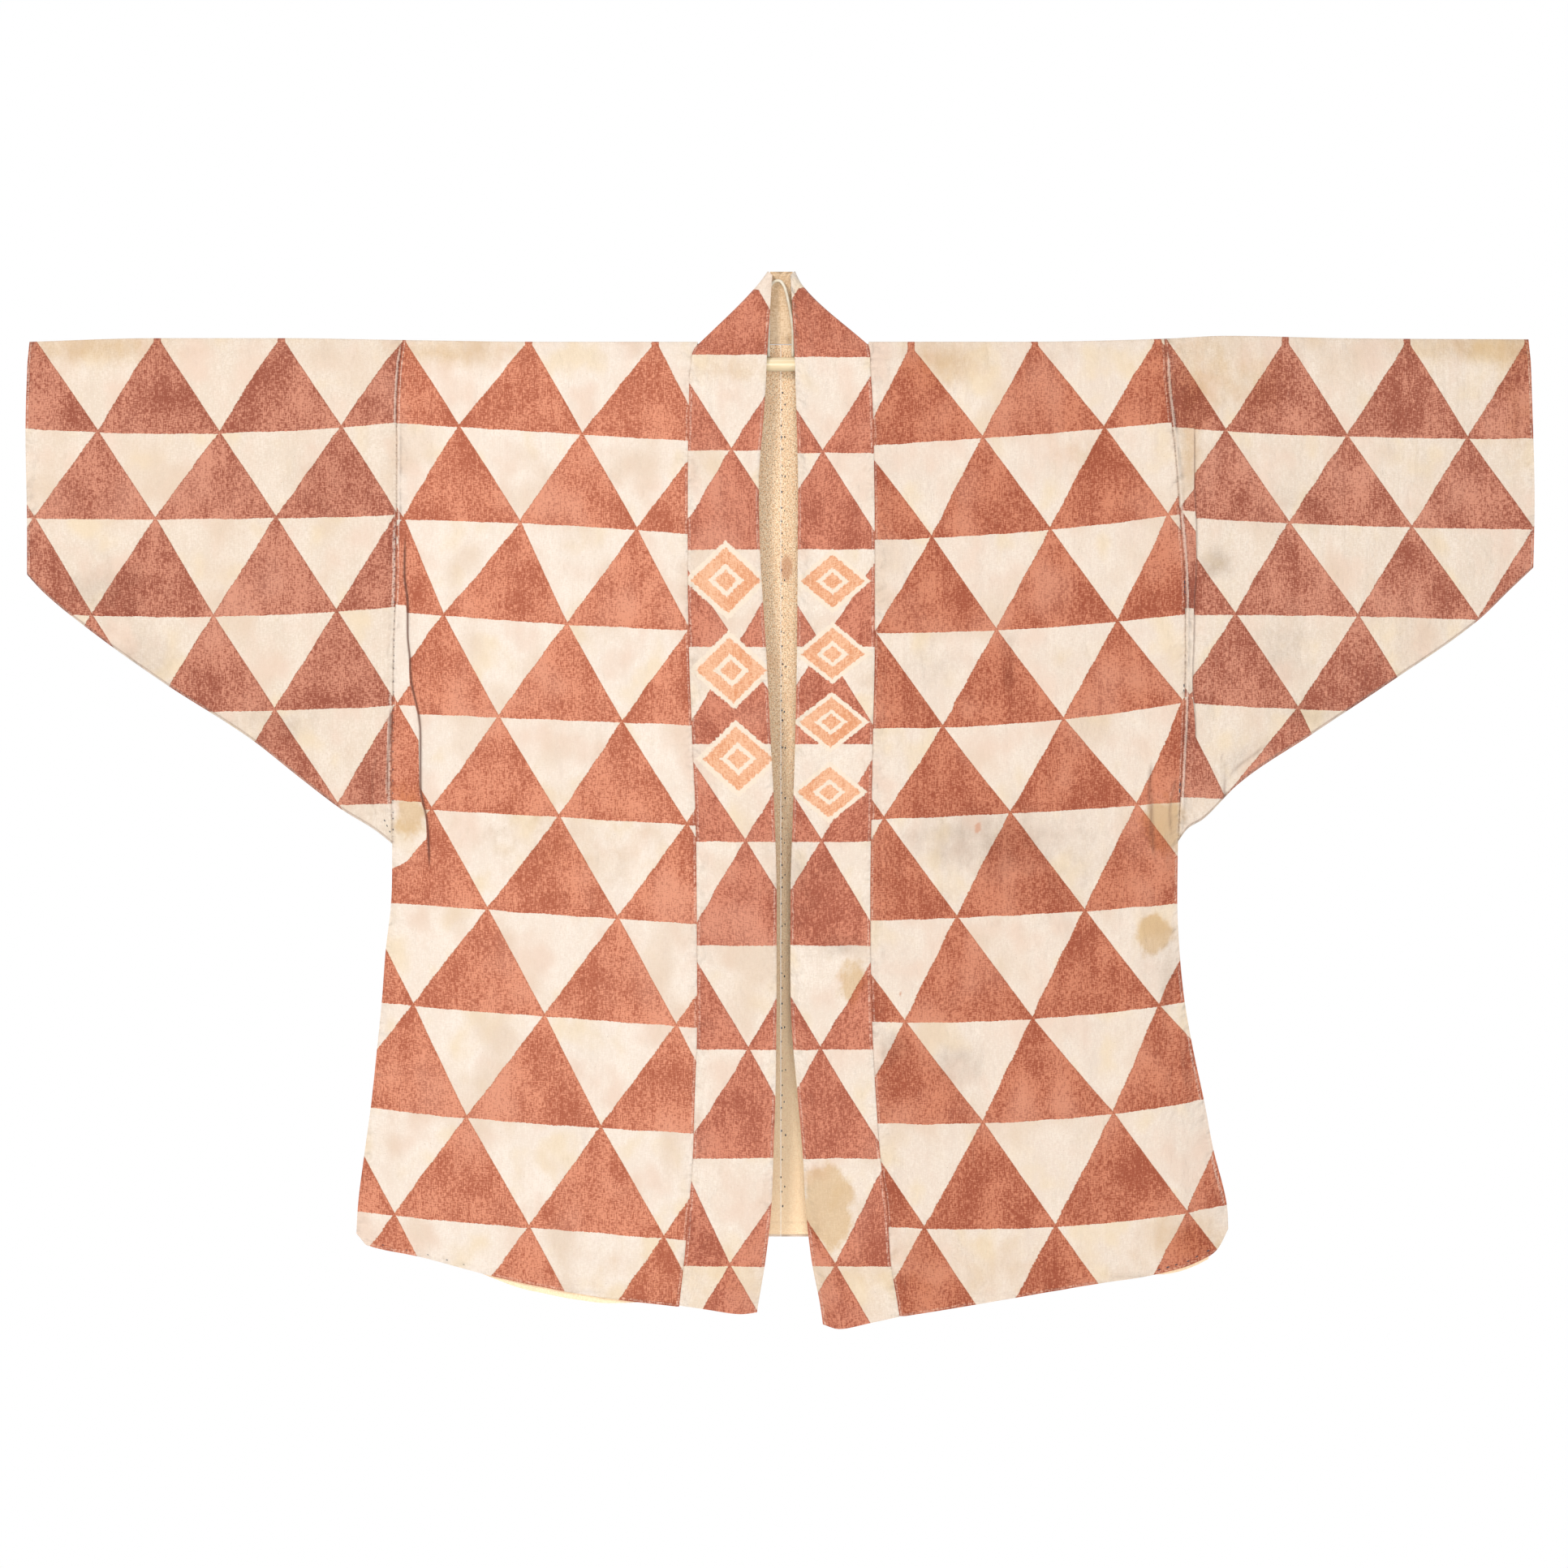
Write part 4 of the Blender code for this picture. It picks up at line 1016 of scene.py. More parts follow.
def body(side, material):
    """One body length: front hem, over the shoulder, back hem."""
    s = sign(side)
    name = "body_" + side
    neck = NECK_POINT[side]

    def column(k):
        """Where column k lies on the front and on the back; the last ones are at the neck."""
        past = k - BODY_COLUMNS

        def front_at(z):
            edge = outer_edge(side, z) - s * SEAM_GAP / 2
            seam = curve(z, COLLAR, "z", side + "_seam") + s * SEAM_GAP / 2
            return grid_x(name, min(k, BODY_COLUMNS), BODY_COLUMNS, z, edge, seam)

        def back_at(z):
            if past > 0:
                return np.full(np.shape(z), neck + (s * GAP / 2 - neck) * past / NECK_COLUMNS)
            edge = outer_edge(side, z) - s * SEAM_GAP / 2
            return grid_x(name, k, BODY_COLUMNS, z, edge, neck)

        return front_at, back_at

    columns = []
    for k in range(BODY_COLUMNS + NECK_COLUMNS + 1):
        front_at, back_at = column(k)
        fold_x = float(back_at(fold_height(back_at(FOLD_Z))))
        hem_x = front_at(HEM_Z if k > SIDE_COLUMNS else SIDE_HEM_Z)
        front_low = float(curve(hem_x, FRONT_HEM[side], "x", "z"))
        back_low = float(curve(back_at(SIDE_HEM_Z), BACK_HEM, "x", "z"))
        front = fold_rows(front_at, fold_x, front_low, side, "front", BODY_ROWS)
        back = fold_rows(back_at, fold_x, back_low, side, "back", BODY_ROWS)
        ridge = nose(fold_x)
        if k > BODY_COLUMNS:
            z = NECK_SEAM_Z - GAP
            ridge[-1] = (fold_x, float(depth("back", side, fold_x, z)), z)
        columns.append(np.concatenate([front[::-1], ridge, back]))
    outer = np.array(columns).transpose(1, 0, 2)
    ridge_end = BODY_FLANK + 2 * len(NOSE_ANGLES) - 2
    i, j = np.meshgrid(np.arange(outer.shape[0] - 1), np.arange(outer.shape[1] - 1), indexing="ij")
    kept = (j < BODY_COLUMNS) | (i >= ridge_end)
    cells = np.stack([i[kept], j[kept]], 1)

    x, y, z = np.moveaxis(outer, -1, 0)
    pattern = lattice(PANELS[name], x, z)
    ridge_top = BODY_FLANK + len(NOSE_ANGLES) - 1
    pattern[ridge_top:] = lattice(back_panel(PANELS[name]), x, z)[ridge_top:]
    shift_pleat(name, pattern, x, y, z)
    along = run_length(outer)
    maps = {"Pattern": pattern, "Cloth": np.stack([x, along - along[BODY_FLANK]], -1) * MM}
    to_edge = np.abs(x - outer[:, :1, 0])
    to_collar = np.abs(x - outer[:, BODY_COLUMNS : BODY_COLUMNS + 1, 0])
    to_collar[ridge_end:] = FAR
    to_hem = np.minimum(along, along[-1] - along)
    to_seam = np.where(z > UNDERARM_Z[side], to_edge, FAR)
    marks = marks_at(outer, np.minimum(np.minimum(to_edge, to_collar), to_hem), to_seam)
    inner = shell(outer, CLOTH, cells)
    piece = cloth("cloth_" + name, outer, inner, maps, marks, material, cells, flip=side == "left")
    return piece, outer, maps


def sleeve(side, material):
    """One sleeve: a tube folded at the top, sewn along its slanted lower edge."""
    s = sign(side)
    name = "sleeve_" + side
    columns = []
    for k in range(SLEEVE_COLUMNS + 1):

        def x_at(z, k=k):
            start = armhole(side, z) + s * SEAM_GAP / 2
            return grid_x(name, k, SLEEVE_COLUMNS, z, start, curve(z, CUFF, "z", side))

        low_z = UNDERARM_Z[side]
        for _ in range(SEAM_PASSES):
            low_z = float(curve(x_at(low_z), SLEEVE_SEAM[side], "x", "z"))
        flank_end = low_z + SEAM_NOSE
        fold_x = float(x_at(SLEEVE_FOLD_Z))
        front, back = [
            fold_rows(x_at, fold_x, flank_end, side, face, SLEEVE_ROWS) for face in ("front", "back")
        ]
        front_out, back_out = -front[-1][1], back[-1][1]
        middle, reach = (back_out - front_out) / 2, (back_out + front_out) / 2
        turns = np.radians(UNDER_ANGLES)
        zs = flank_end - SEAM_NOSE * np.sin(turns)
        under = np.stack([x_at(zs), middle + reach * np.cos(turns), zs], -1)
        columns.append(np.concatenate([front[::-1], nose(fold_x), back, under]))
    outer = np.array(columns).transpose(1, 0, 2)
    inner = shell(outer, CLOTH, closed=True)
    looped = np.concatenate([outer, outer[:1]])
    x, y, z = np.moveaxis(looped, -1, 0)
    along = run_length(looped)
    pattern = lattice(PANELS[name], x, z)
    shift_pleat(name, pattern, x, y, z)
    maps = {"Pattern": pattern, "Cloth": np.stack([x, along - along[SLEEVE_FLANK]], -1) * MM}
    to_arm = np.abs(outer[..., 0] - outer[:, :1, 0])
    to_cuff = np.abs(outer[..., 0] - outer[:, -1:, 0])
    lower = outer[..., 2] - curve(outer[..., 0], SLEEVE_SEAM[side], "x", "z")
    marks = marks_at(outer, np.minimum(np.minimum(to_arm, to_cuff), lower), to_arm)
    # Painted shade along the sleeve's turned lower edge
    marks["fold"] += UNDER_SHADE * bell(lower - SEAM_NOSE, UNDER_SHADE_WIDTH)
    return cloth("cloth_" + name, outer, inner, maps, marks, material, closed=True, flip=side == "right")


def band_half(side):
    """The collar band from its hem up one front and round the 45-degree fold, to the back."""
    s = sign(side)
    share = crowded(BAND_COLUMNS)

    def across(z, at):
        seam = curve(z, COLLAR, "z", side + "_seam") - s * SEAM_GAP / 2
        edge = curve(z, COLLAR, "z", side + "_edge")
        return seam + (edge - seam) * at

    def front_row(zs):
        xs = across(zs, share)
        free = np.abs(xs - across(zs, 1.0))
        rounding = BAND_ROUND * bell(free, BAND_ROUND_WIDTH) - puckered(BAND_PUCKERS, zs, free)
        ys = -(depth("front", side, xs, zs) + BAND_PROUD - rounding)
        return np.stack([xs, ys, zs], -1)

    fold_z = float(fold_height(NECK_POINT[side]))
    low = curve(share, COLLAR_HEM, "across", side + "_z")
    high = fold_z - ROOF_DROPS[-1]
    levels = [low + (high - low) * k / BAND_ROWS for k in range(BAND_ROWS + 1)]
    levels += [np.full(share.shape, fold_z - drop) for drop in ROOF_DROPS[-2:-4:-1]]
    rows = [front_row(zs) for zs in levels]
    straight = rows[-1]

    crease_x = curve(share, PEAK, "across", side + "_x")
    crease_z = curve(share, PEAK, "across", "z")
    radius = PEAK_SEAM_RADIUS + (PEAK_EDGE_RADIUS - PEAK_SEAM_RADIUS) * share
    lean = math.sqrt(0.5)
    turn_rows = []
    for angle in FOLD_ANGLES:
        out = lean * radius * (math.sin(math.radians(angle)) - 1) * share
        step = PEAK_STEP * (1 - share) * angle / 180
        y = PEAK_SHIFT * share - radius * math.cos(math.radians(angle))
        turn_rows.append(np.stack([crease_x + s * (out - step), y, crease_z + out + step], -1))
    start, end = straight, turn_rows[0]
    for part in PEAK_PARTS:
        row = start + (end - start) * part
        ahead = smooth((part - PEAK_START) / (1 - PEAK_START))
        row[:, 1] = start[:, 1] + (end[:, 1] - start[:, 1]) * ahead
        on_seam = across(row[0, 2], 0.0) - start[0, 0] - (end[0, 0] - start[0, 0]) * part
        row[:, 0] += on_seam * (1 - share) ** 2
        rows.append(row)
    flat = len(rows)
    rows += turn_rows

    def back_y(x, at):
        seam_y = depth("back", side, x, np.full(np.shape(x), NECK_SEAM_Z - GAP))
        return seam_y + (PEAK_EDGE_RADIUS + PEAK_SHIFT - seam_y) * at

    upright_x = np.full(share.shape, crease_x[-1] - s * BACK_INSET)
    upright_z = NECK_SEAM_Z + (BAND_TOP_Z - NECK_SEAM_Z) * share
    for part in BACK_PARTS:
        x = turn_rows[-1][:, 0] + (upright_x - turn_rows[-1][:, 0]) * part
        z = turn_rows[-1][:, 2] + (upright_z - turn_rows[-1][:, 2]) * smooth(part * BACK_RISE)
        rows.append(np.stack([x, back_y(x, share), z], -1))
    for part in NECK_PARTS:
        x = upright_x * (1 - part)
        rows.append(np.stack([x, back_y(x, share), upright_z], -1))
    return np.array(rows), flat


def band_maps(side, grid, flat):
    """Pattern, lozenge and cloth coordinates of half the band."""
    s = sign(side)
    share = crowded(BAND_COLUMNS)
    x, z = grid[..., 0], grid[..., 2]
    lines = np.array(BAND_LINES[side])
    corner = curve(z, BAND_CORNERS[side], "z", "x")
    v = np.interp(-z, -lines, np.arange(len(lines), dtype=float))
    u = 0.5 + (x - corner) / BAND_PITCH
    along = run_length(grid)
    past = along[flat:] - along[flat : flat + 1]
    v[flat:] = v[flat] - past / BAND_ROW
    u[flat:] = u[flat]
    v += 1

    rows = LOZENGES[side]
    heights = np.array([row.z for row in rows], float)
    centre = np.interp(-z, -heights, np.arange(len(rows), dtype=float))
    above, below = z - heights[0], heights[-1] - z
    centre = np.where(above > 0, -above / (heights[0] - heights[1]), centre)
    centre = np.where(below > 0, len(rows) - 1 + below / (heights[-2] - heights[-1]), centre)
    centre = np.clip(centre, -0.5, len(rows) - 0.5)
    across = (x - curve(z, rows[::-1], "z", "x")) / LOZENGE_HALF_WIDTH[side]
    lozenge = np.stack([across, centre], -1)
    width = np.broadcast_to(share * BAND_WIDTH * s, along.shape)
    return {
        "Pattern": np.stack([u, v], -1),
        "Lozenge": lozenge,
        "Cloth": np.stack([width, along], -1) * MM,
    }


def collar(material):
    """The one band: up the right front, round the neck and down the left front."""
    right, flat = band_half("right")
    left, _ = band_half("left")
    outer = np.concatenate([right, left[::-1][1:]])
    along = np.gradient(outer, axis=0)
    across = np.gradient(outer, axis=1)
    normal = np.cross(across, along)
    for rows in (slice(0, flat), slice(-flat, None)):
        normal[rows, :, 0] = 0
    normal /= np.linalg.norm(normal, axis=-1, keepdims=True)
    normal[flat:-flat, 0, 2] *= NECK_SEAM_TILT
    normal /= np.linalg.norm(normal, axis=-1, keepdims=True)
    inner = outer - normal * BAND
    right_maps = band_maps("right", right, flat)
    left_maps = band_maps("left", left, flat)
    maps = {key: np.concatenate([right_maps[key], left_maps[key][::-1]]) for key in right_maps}
    share = crowded(BAND_COLUMNS) * BAND_WIDTH
    edge = np.broadcast_to(np.minimum(share, BAND_WIDTH - share), outer.shape[:2])
    marks = marks_at(outer, edge, np.broadcast_to(share, outer.shape[:2]))
    # The bands' seam lines of needle holes and painted shade are fainter
    marks["dark"] *= BAND_HOLES_AND_SHADE
    return cloth("cloth_collar", outer, inner, maps, marks, material, split=len(right) - 1)


def lining(face, side, grid, maps, material):
    """A thin lining just inside the front or the back, from the points of the wall."""
    grid = grid.copy()
    ridge_end = BODY_FLANK + 2 * len(NOSE_ANGLES) - 2
    away = np.abs(grid[..., 0] - grid[:, :1, 0]).min(0)
    columns = np.arange(int(np.argmax(away >= LINING_INSET)), grid.shape[1] - 1)
    hem = len(HEM_LIFTS)
    if face == "front":
        shows = LINING_SHOWS[side]
        fall = shows.fall * np.exp(-(((grid[0, :, 0] - shows.centre) / shows.spread) ** 4))
        grid[:hem, :, 2] += LINING_SHORT - fall
        i, j = np.meshgrid(np.arange(BODY_ROWS + hem), columns[columns < BODY_COLUMNS], indexing="ij")
        kept = np.ones(i.shape, bool)
    else:
        grid[-hem:, :, 2] += LINING_SHORT
        below_fold = ridge_end + int(np.searchsorted(ROOF_DROPS, LINING_DROP)) + 1
        i, j = np.meshgrid(np.arange(ridge_end, grid.shape[0] - 1), columns, indexing="ij")
        kept = (j >= BODY_COLUMNS) | (i >= below_fold)
    cells = np.stack([i[kept], j[kept]], 1)
    near, far = [shell(grid, d, cells) for d in (CLOTH + GAP, CLOTH + GAP + LINING)]
    name = "cloth_lining_" + face + "_" + side
    nowhere = np.full(grid.shape[:2], FAR)
    marks = marks_at(grid, nowhere, nowhere)
    marks["age"] *= LINING_MARKS
    marks["soil"] *= LINING_MARKS
    return cloth(name, near, far, {"Cloth": maps["Cloth"]}, marks, material, cells, flip=side == "left")


def linear(hex_colour):
    """An sRGB hex colour as linear red, green, blue and full alpha."""
    parts = [int(hex_colour[k : k + 2], 16) / 255 for k in (1, 3, 5)]
    return (*[c / 12.92 if c <= 0.04045 else ((c + 0.055) / 1.055) ** 2.4 for c in parts], 1.0)


def add_node(tree, kind, inputs=(), **settings):
    """Adds a node; inputs maps a socket's name or number to a value or to another socket."""
    node = tree.nodes.new(kind)
    for name, value in settings.items():
        setattr(node, name, value)
    for key, value in dict(inputs).items():
        if isinstance(value, bpy.types.NodeSocket):
            tree.links.new(value, node.inputs[key])
        else:
            node.inputs[key].default_value = value
    return node


def new_material(name, *, roughness, sheen=0.0):
    material = bpy.data.materials.new(name)
    material.use_nodes = True
    tree = material.node_tree
    shader = tree.nodes["Principled BSDF"]
    shader.inputs["Roughness"].default_value = roughness
    shader.inputs["Sheen Weight"].default_value = sheen
    shader.inputs["Sheen Roughness"].default_value = 0.5
    return material, tree, shader


def cloth_noise(tree, uv, size_x, size_y, detail=1.0, offset=0.0):
    """Noise on the cloth, of one size across it and another along it, in millimetres."""
    scale = (1 / (size_x * MM), 1 / (size_y * MM), 1)
    place = add_node(
        tree, "ShaderNodeMapping", {"Vector": uv, "Location": (offset, offset, 0), "Scale": scale}
    )
    noise = add_node(
        tree,
        "ShaderNodeTexNoise",
        {"Vector": place.outputs[0], "Scale": 1.0, "Detail": detail, "Roughness": 0.6},
        noise_dimensions="2D",
    )
    return noise.outputs["Fac"]


def paint_over(tree, colour, paint, value, low, high, start=0.0, end=1.0, blend="MIX"):
    """Lays a paint over a colour, by how far a value lies between two limits."""
    amount = add_node(
        tree,
        "ShaderNodeMapRange",
        {"Value": value, "From Min": low, "From Max": high, "To Min": start, "To Max": end},
        interpolation_type="SMOOTHSTEP",
    )
    mix = add_node(
        tree,
        "ShaderNodeMix",
        {0: amount.outputs[0], 6: colour, 7: paint},
        data_type="RGBA",
        blend_type=blend,
    )
    return mix.outputs[2]


def threads(tree, uv, pitch):
    """Light and dark threads, lengthwise and crosswise, about half and half."""
    lengthwise = cloth_noise(tree, uv, pitch, THREAD_LONG * pitch)
    crosswise = cloth_noise(tree, uv, THREAD_WIDE * pitch, pitch, offset=7.0)
    return add_node(tree, "ShaderNodeMath", {0: lengthwise, 1: crosswise}, operation="ADD").outputs[0]


def cloth_relief(tree, shader, uv, weave, thread_depth, wrinkle_depth):
    """Bump from the threads, from rubbed wrinkles and from puckers at the seams, in millimetres."""
    wrinkles = cloth_noise(tree, uv, 15.0, 26.0, detail=2.5, offset=3.0)
    gathers = cloth_noise(tree, uv, 9.0, 6.0, detail=0.0, offset=13.0)
    near_seam = add_node(tree, "ShaderNodeAttribute", attribute_name="pucker").outputs["Fac"]
    puckers = add_node(tree, "ShaderNodeMath", {0: gathers, 1: near_seam}, operation="MULTIPLY")
    height = add_node(
        tree,
        "ShaderNodeMath",
        {0: puckers.outputs[0], 1: PUCKER_SHARE, 2: wrinkles},
        operation="MULTIPLY_ADD",
    )
    broad = add_node(
        tree,
        "ShaderNodeBump",
        {"Strength": 1.0, "Distance": wrinkle_depth * MM, "Height": height.outputs[0]},
    )
    fine = add_node(
        tree,
        "ShaderNodeBump",
        {
            "Strength": 1.0,
            "Distance": thread_depth * MM,
            "Height": weave,
            "Normal": broad.outputs[0],
        },
    )
    tree.links.new(fine.outputs[0], shader.inputs["Normal"])


def aged(tree, uv, colour, tan, grey):
    """The colour with its tan ageing and grey soil, broken up by noise, and its orange spots."""
    spread = cloth_noise(tree, uv, 13.0, 17.0, detail=3.0, offset=11.0)
    kinds = (("age", tan, 0.5, 1.6), ("stain", tan, 0.62, 0.98), ("soil", grey, 0.5, 1.7))
    for kind, tint, low, high in kinds:
        mark = add_node(tree, "ShaderNodeAttribute", attribute_name=kind).outputs["Fac"]
        broken = add_node(
            tree, "ShaderNodeMath", {0: spread, 1: 0.75, 2: mark}, operation="MULTIPLY_ADD"
        ).outputs[0]
        colour = paint_over(
            tree, colour, linear(tint), broken, low, high, end=0.8, blend="MULTIPLY"
        )
    spot = add_node(tree, "ShaderNodeAttribute", attribute_name="spot").outputs["Fac"]
    return paint_over(tree, colour, linear("#B97B58"), spot, 0.3, 0.7, end=0.6)


def shaded(tree, uv, colour):
    """Painted shade, dark in spots along the seams, where it also stands for needle holes, and painted shadow
    at the foot of the folds.
    """
    dark = add_node(tree, "ShaderNodeAttribute", attribute_name="dark").outputs["Fac"]
    gaps = cloth_noise(tree, uv, 9.0, 2.2, detail=2.0, offset=41.0)
    gaps = add_node(tree, "ShaderNodeMath", {0: gaps, 1: 2.0, 2: -0.15}, operation="MULTIPLY_ADD")
    broken = add_node(
        tree, "ShaderNodeMath", {0: dark, 1: gaps.outputs[0]}, operation="MULTIPLY"
    ).outputs[0]
    # Needle holes with painted shade, in broken spots along the seams and in the back band's dark lines
    colour = paint_over(tree, colour, linear("#6A4636"), broken, 0.08, 0.95, end=0.85)
    fold = add_node(tree, "ShaderNodeAttribute", attribute_name="fold").outputs["Fac"]
    # Painted shadow at the foot of the folds and the strip, and under the sleeve's lower edge
    return paint_over(tree, colour, linear("#6B4333"), fold, 0.0, 0.9, end=0.85)


def triangles(tree, uv):
    """The paste-resist triangles: 1 where the cloth is red, and how far that is from an edge."""
    pattern = add_node(tree, "ShaderNodeUVMap", uv_map="Pattern").outputs["UV"]
    at = add_node(tree, "ShaderNodeSeparateXYZ", {0: pattern})
    nick = cloth_noise(tree, uv, 1.9, 1.9, offset=5.0)
    drift = cloth_noise(tree, uv, 23.0, 23.0, offset=9.0)
    wobbled = []
    for axis, fine, broad in (("X", 0.013, 0.016), ("Y", 0.013, 0.020)):
        value = at.outputs[axis]
        for noise, size in ((nick, fine), (drift, broad)):
            half = add_node(tree, "ShaderNodeMath", {0: noise, 1: -0.5}, operation="ADD").outputs[0]
            value = add_node(
                tree, "ShaderNodeMath", {0: half, 1: size, 2: value}, operation="MULTIPLY_ADD"
            ).outputs[0]
        wobbled.append(value)
    u, v = wobbled
    row = add_node(tree, "ShaderNodeMath", {0: v}, operation="FLOOR").outputs[0]
    down = add_node(tree, "ShaderNodeMath", {0: v}, operation="FRACT").outputs[0]
    odd = add_node(tree, "ShaderNodeMath", {0: row, 1: 2.0}, operation="FLOORED_MODULO").outputs[0]
    shifted = add_node(
        tree, "ShaderNodeMath", {0: odd, 1: -0.5, 2: u}, operation="MULTIPLY_ADD"
    ).outputs[0]
    away = add_node(tree, "ShaderNodeMath", {0: shifted, 1: 0.5}, operation="PINGPONG").outputs[0]
    reach = add_node(
        tree, "ShaderNodeMath", {0: down, 1: 0.5, 2: CORNER_BRIDGE}, operation="MULTIPLY_ADD"
    ).outputs[0]
    inside = add_node(tree, "ShaderNodeMath", {0: reach, 1: away}, operation="SUBTRACT").outputs[0]
    is_red = add_node(
        tree,
        "ShaderNodeMapRange",
        {"Value": inside, "From Min": -EDGE_BLUR, "From Max": EDGE_BLUR},
        interpolation_type="SMOOTHSTEP",
    ).outputs[0]
    return is_red, inside


def dyed_cotton(name, *, red, cream, outline, lozenges=False):
    """Hand-woven cotton, resist-printed: a dry, thready cloth whose red has faded unevenly
    thread by thread, with an ochre line where the dye met the paste."""
    material, tree, shader = new_material(name, roughness=0.93, sheen=0.12)
    uv = add_node(tree, "ShaderNodeUVMap", uv_map="Cloth").outputs["UV"]
    weave = threads(tree, uv, THREAD_PITCH)
    blotch = cloth_noise(tree, uv, 28.0, 40.0, detail=2.5)
    streak = cloth_noise(tree, uv, 3.2, 120.0, detail=2.0, offset=2.0)
    tone = add_node(tree, "ShaderNodeMath", {0: blotch, 1: 0.8, 2: weave}, operation="MULTIPLY_ADD")
    tone = add_node(
        tree, "ShaderNodeMath", {0: streak, 1: 0.35, 2: tone.outputs[0]}, operation="MULTIPLY_ADD"
    ).outputs[0]
    fading = cloth_noise(tree, uv, 70.0, 85.0, detail=2.0, offset=61.0)
    drift = add_node(
        tree, "ShaderNodeMath", {0: fading, 1: 0.5, 2: -0.25}, operation="MULTIPLY_ADD"
    ).outputs[0]
    tone = add_node(tree, "ShaderNodeMath", {0: tone, 1: drift}, operation="ADD").outputs[0]
    red_part = paint_over(tree, linear(red[0]), linear(red[1]), tone, 1.28, 1.86)
    red_part = paint_over(tree, red_part, linear("#CF9A84"), fading, 0.5, 0.78, end=0.22)
    is_red, inside = triangles(tree, uv)
    red_part = paint_over(tree, red_part, linear(outline), inside, 0.002, 0.016, start=0.5, end=0.0)
    cream_part = paint_over(tree, linear(cream[0]), linear(cream[1]), tone, 1.3, 1.95)
    speck = cloth_noise(tree, uv, 1.8, 1.8, detail=1.0, offset=51.0)
    cream_part = paint_over(tree, cream_part, linear("#8A6A50"), speck, 0.8, 0.87, end=0.6)
    stale = cloth_noise(tree, uv, 48.0, 60.0, detail=2.5, offset=17.0)
    cream_part = paint_over(tree, cream_part, linear("#D5BDAC"), stale, 0.48, 0.74, end=0.75)
    cream_part = paint_over(tree, cream_part, linear("#D8C4A6"), stale, 0.26, 0.48, start=0.65, end=0.0)
    cream_part = paint_over(tree, cream_part, linear("#CBB5A0"), fading, 0.48, 0.76, end=0.65)
    colour = add_node(
        tree, "ShaderNodeMix", {0: is_red, 6: cream_part, 7: red_part}, data_type="RGBA"
    ).outputs[2]
    if lozenges:
        colour = with_lozenges(tree, uv, colour, tone)
    # Lighter threads where edges and pipings are worn, and a painted highlight along the crests of the sharp
    # folds
    wear = add_node(tree, "ShaderNodeAttribute", attribute_name="wear").outputs["Fac"]
    rubbed = add_node(tree, "ShaderNodeMath", {0: wear, 1: weave}, operation="MULTIPLY").outputs[0]
    colour = paint_over(tree, colour, linear(cream[1]), rubbed, 0.5, 1.3, end=0.5)
    colour = aged(tree, uv, colour, "#E7D2AE", "#C8C0BA")
    if lozenges:
        inner = add_node(tree, "ShaderNodeAttribute", attribute_name="inside").outputs["Fac"]
        plain = paint_over(tree, linear("#C9A985"), linear("#E4CAAA"), tone, 1.2, 1.9)
        colour = paint_over(tree, colour, plain, inner, 0.0, 1.0)
    # Painted shade and shadow at the seams and the folds
    colour = shaded(tree, uv, colour)
    tree.links.new(colour, shader.inputs["Base Color"])
    cloth_relief(tree, shader, uv, weave, thread_depth=0.2, wrinkle_depth=2.6)
    return material


def with_lozenges(tree, uv, colour, tone):
    """Orange lozenges, each with a small one at its centre and a pale edge of resist."""
    place = add_node(tree, "ShaderNodeUVMap", uv_map="Lozenge").outputs["UV"]
    at = add_node(tree, "ShaderNodeSeparateXYZ", {0: place})
    whole = add_node(tree, "ShaderNodeMath", {0: at.outputs["Y"], 1: 0.5}, operation="PINGPONG")
    across = add_node(tree, "ShaderNodeMath", {0: at.outputs["X"]}, operation="ABSOLUTE")
    nick = cloth_noise(tree, uv, 2.6, 2.6, offset=21.0)
    far = add_node(
        tree,
        "ShaderNodeMath",
        {0: whole.outputs[0], 1: LOZENGE_TALL, 2: across.outputs[0]},
        operation="MULTIPLY_ADD",
    ).outputs[0]
    far = add_node(
        tree, "ShaderNodeMath", {0: nick, 1: LOZENGE_NICK, 2: far}, operation="MULTIPLY_ADD"
    ).outputs[0]
    orange = paint_over(tree, linear("#CC8960"), linear("#DFB08F"), tone, 1.15, 1.95)
    for edge, paint in zip(LOZENGE_RINGS, (linear("#DDCEBC"), orange) * 2):
        colour = paint_over(
            tree, colour, paint, far, edge - LOZENGE_BLUR, edge + LOZENGE_BLUR, start=1.0, end=0.0
        )
    return colour


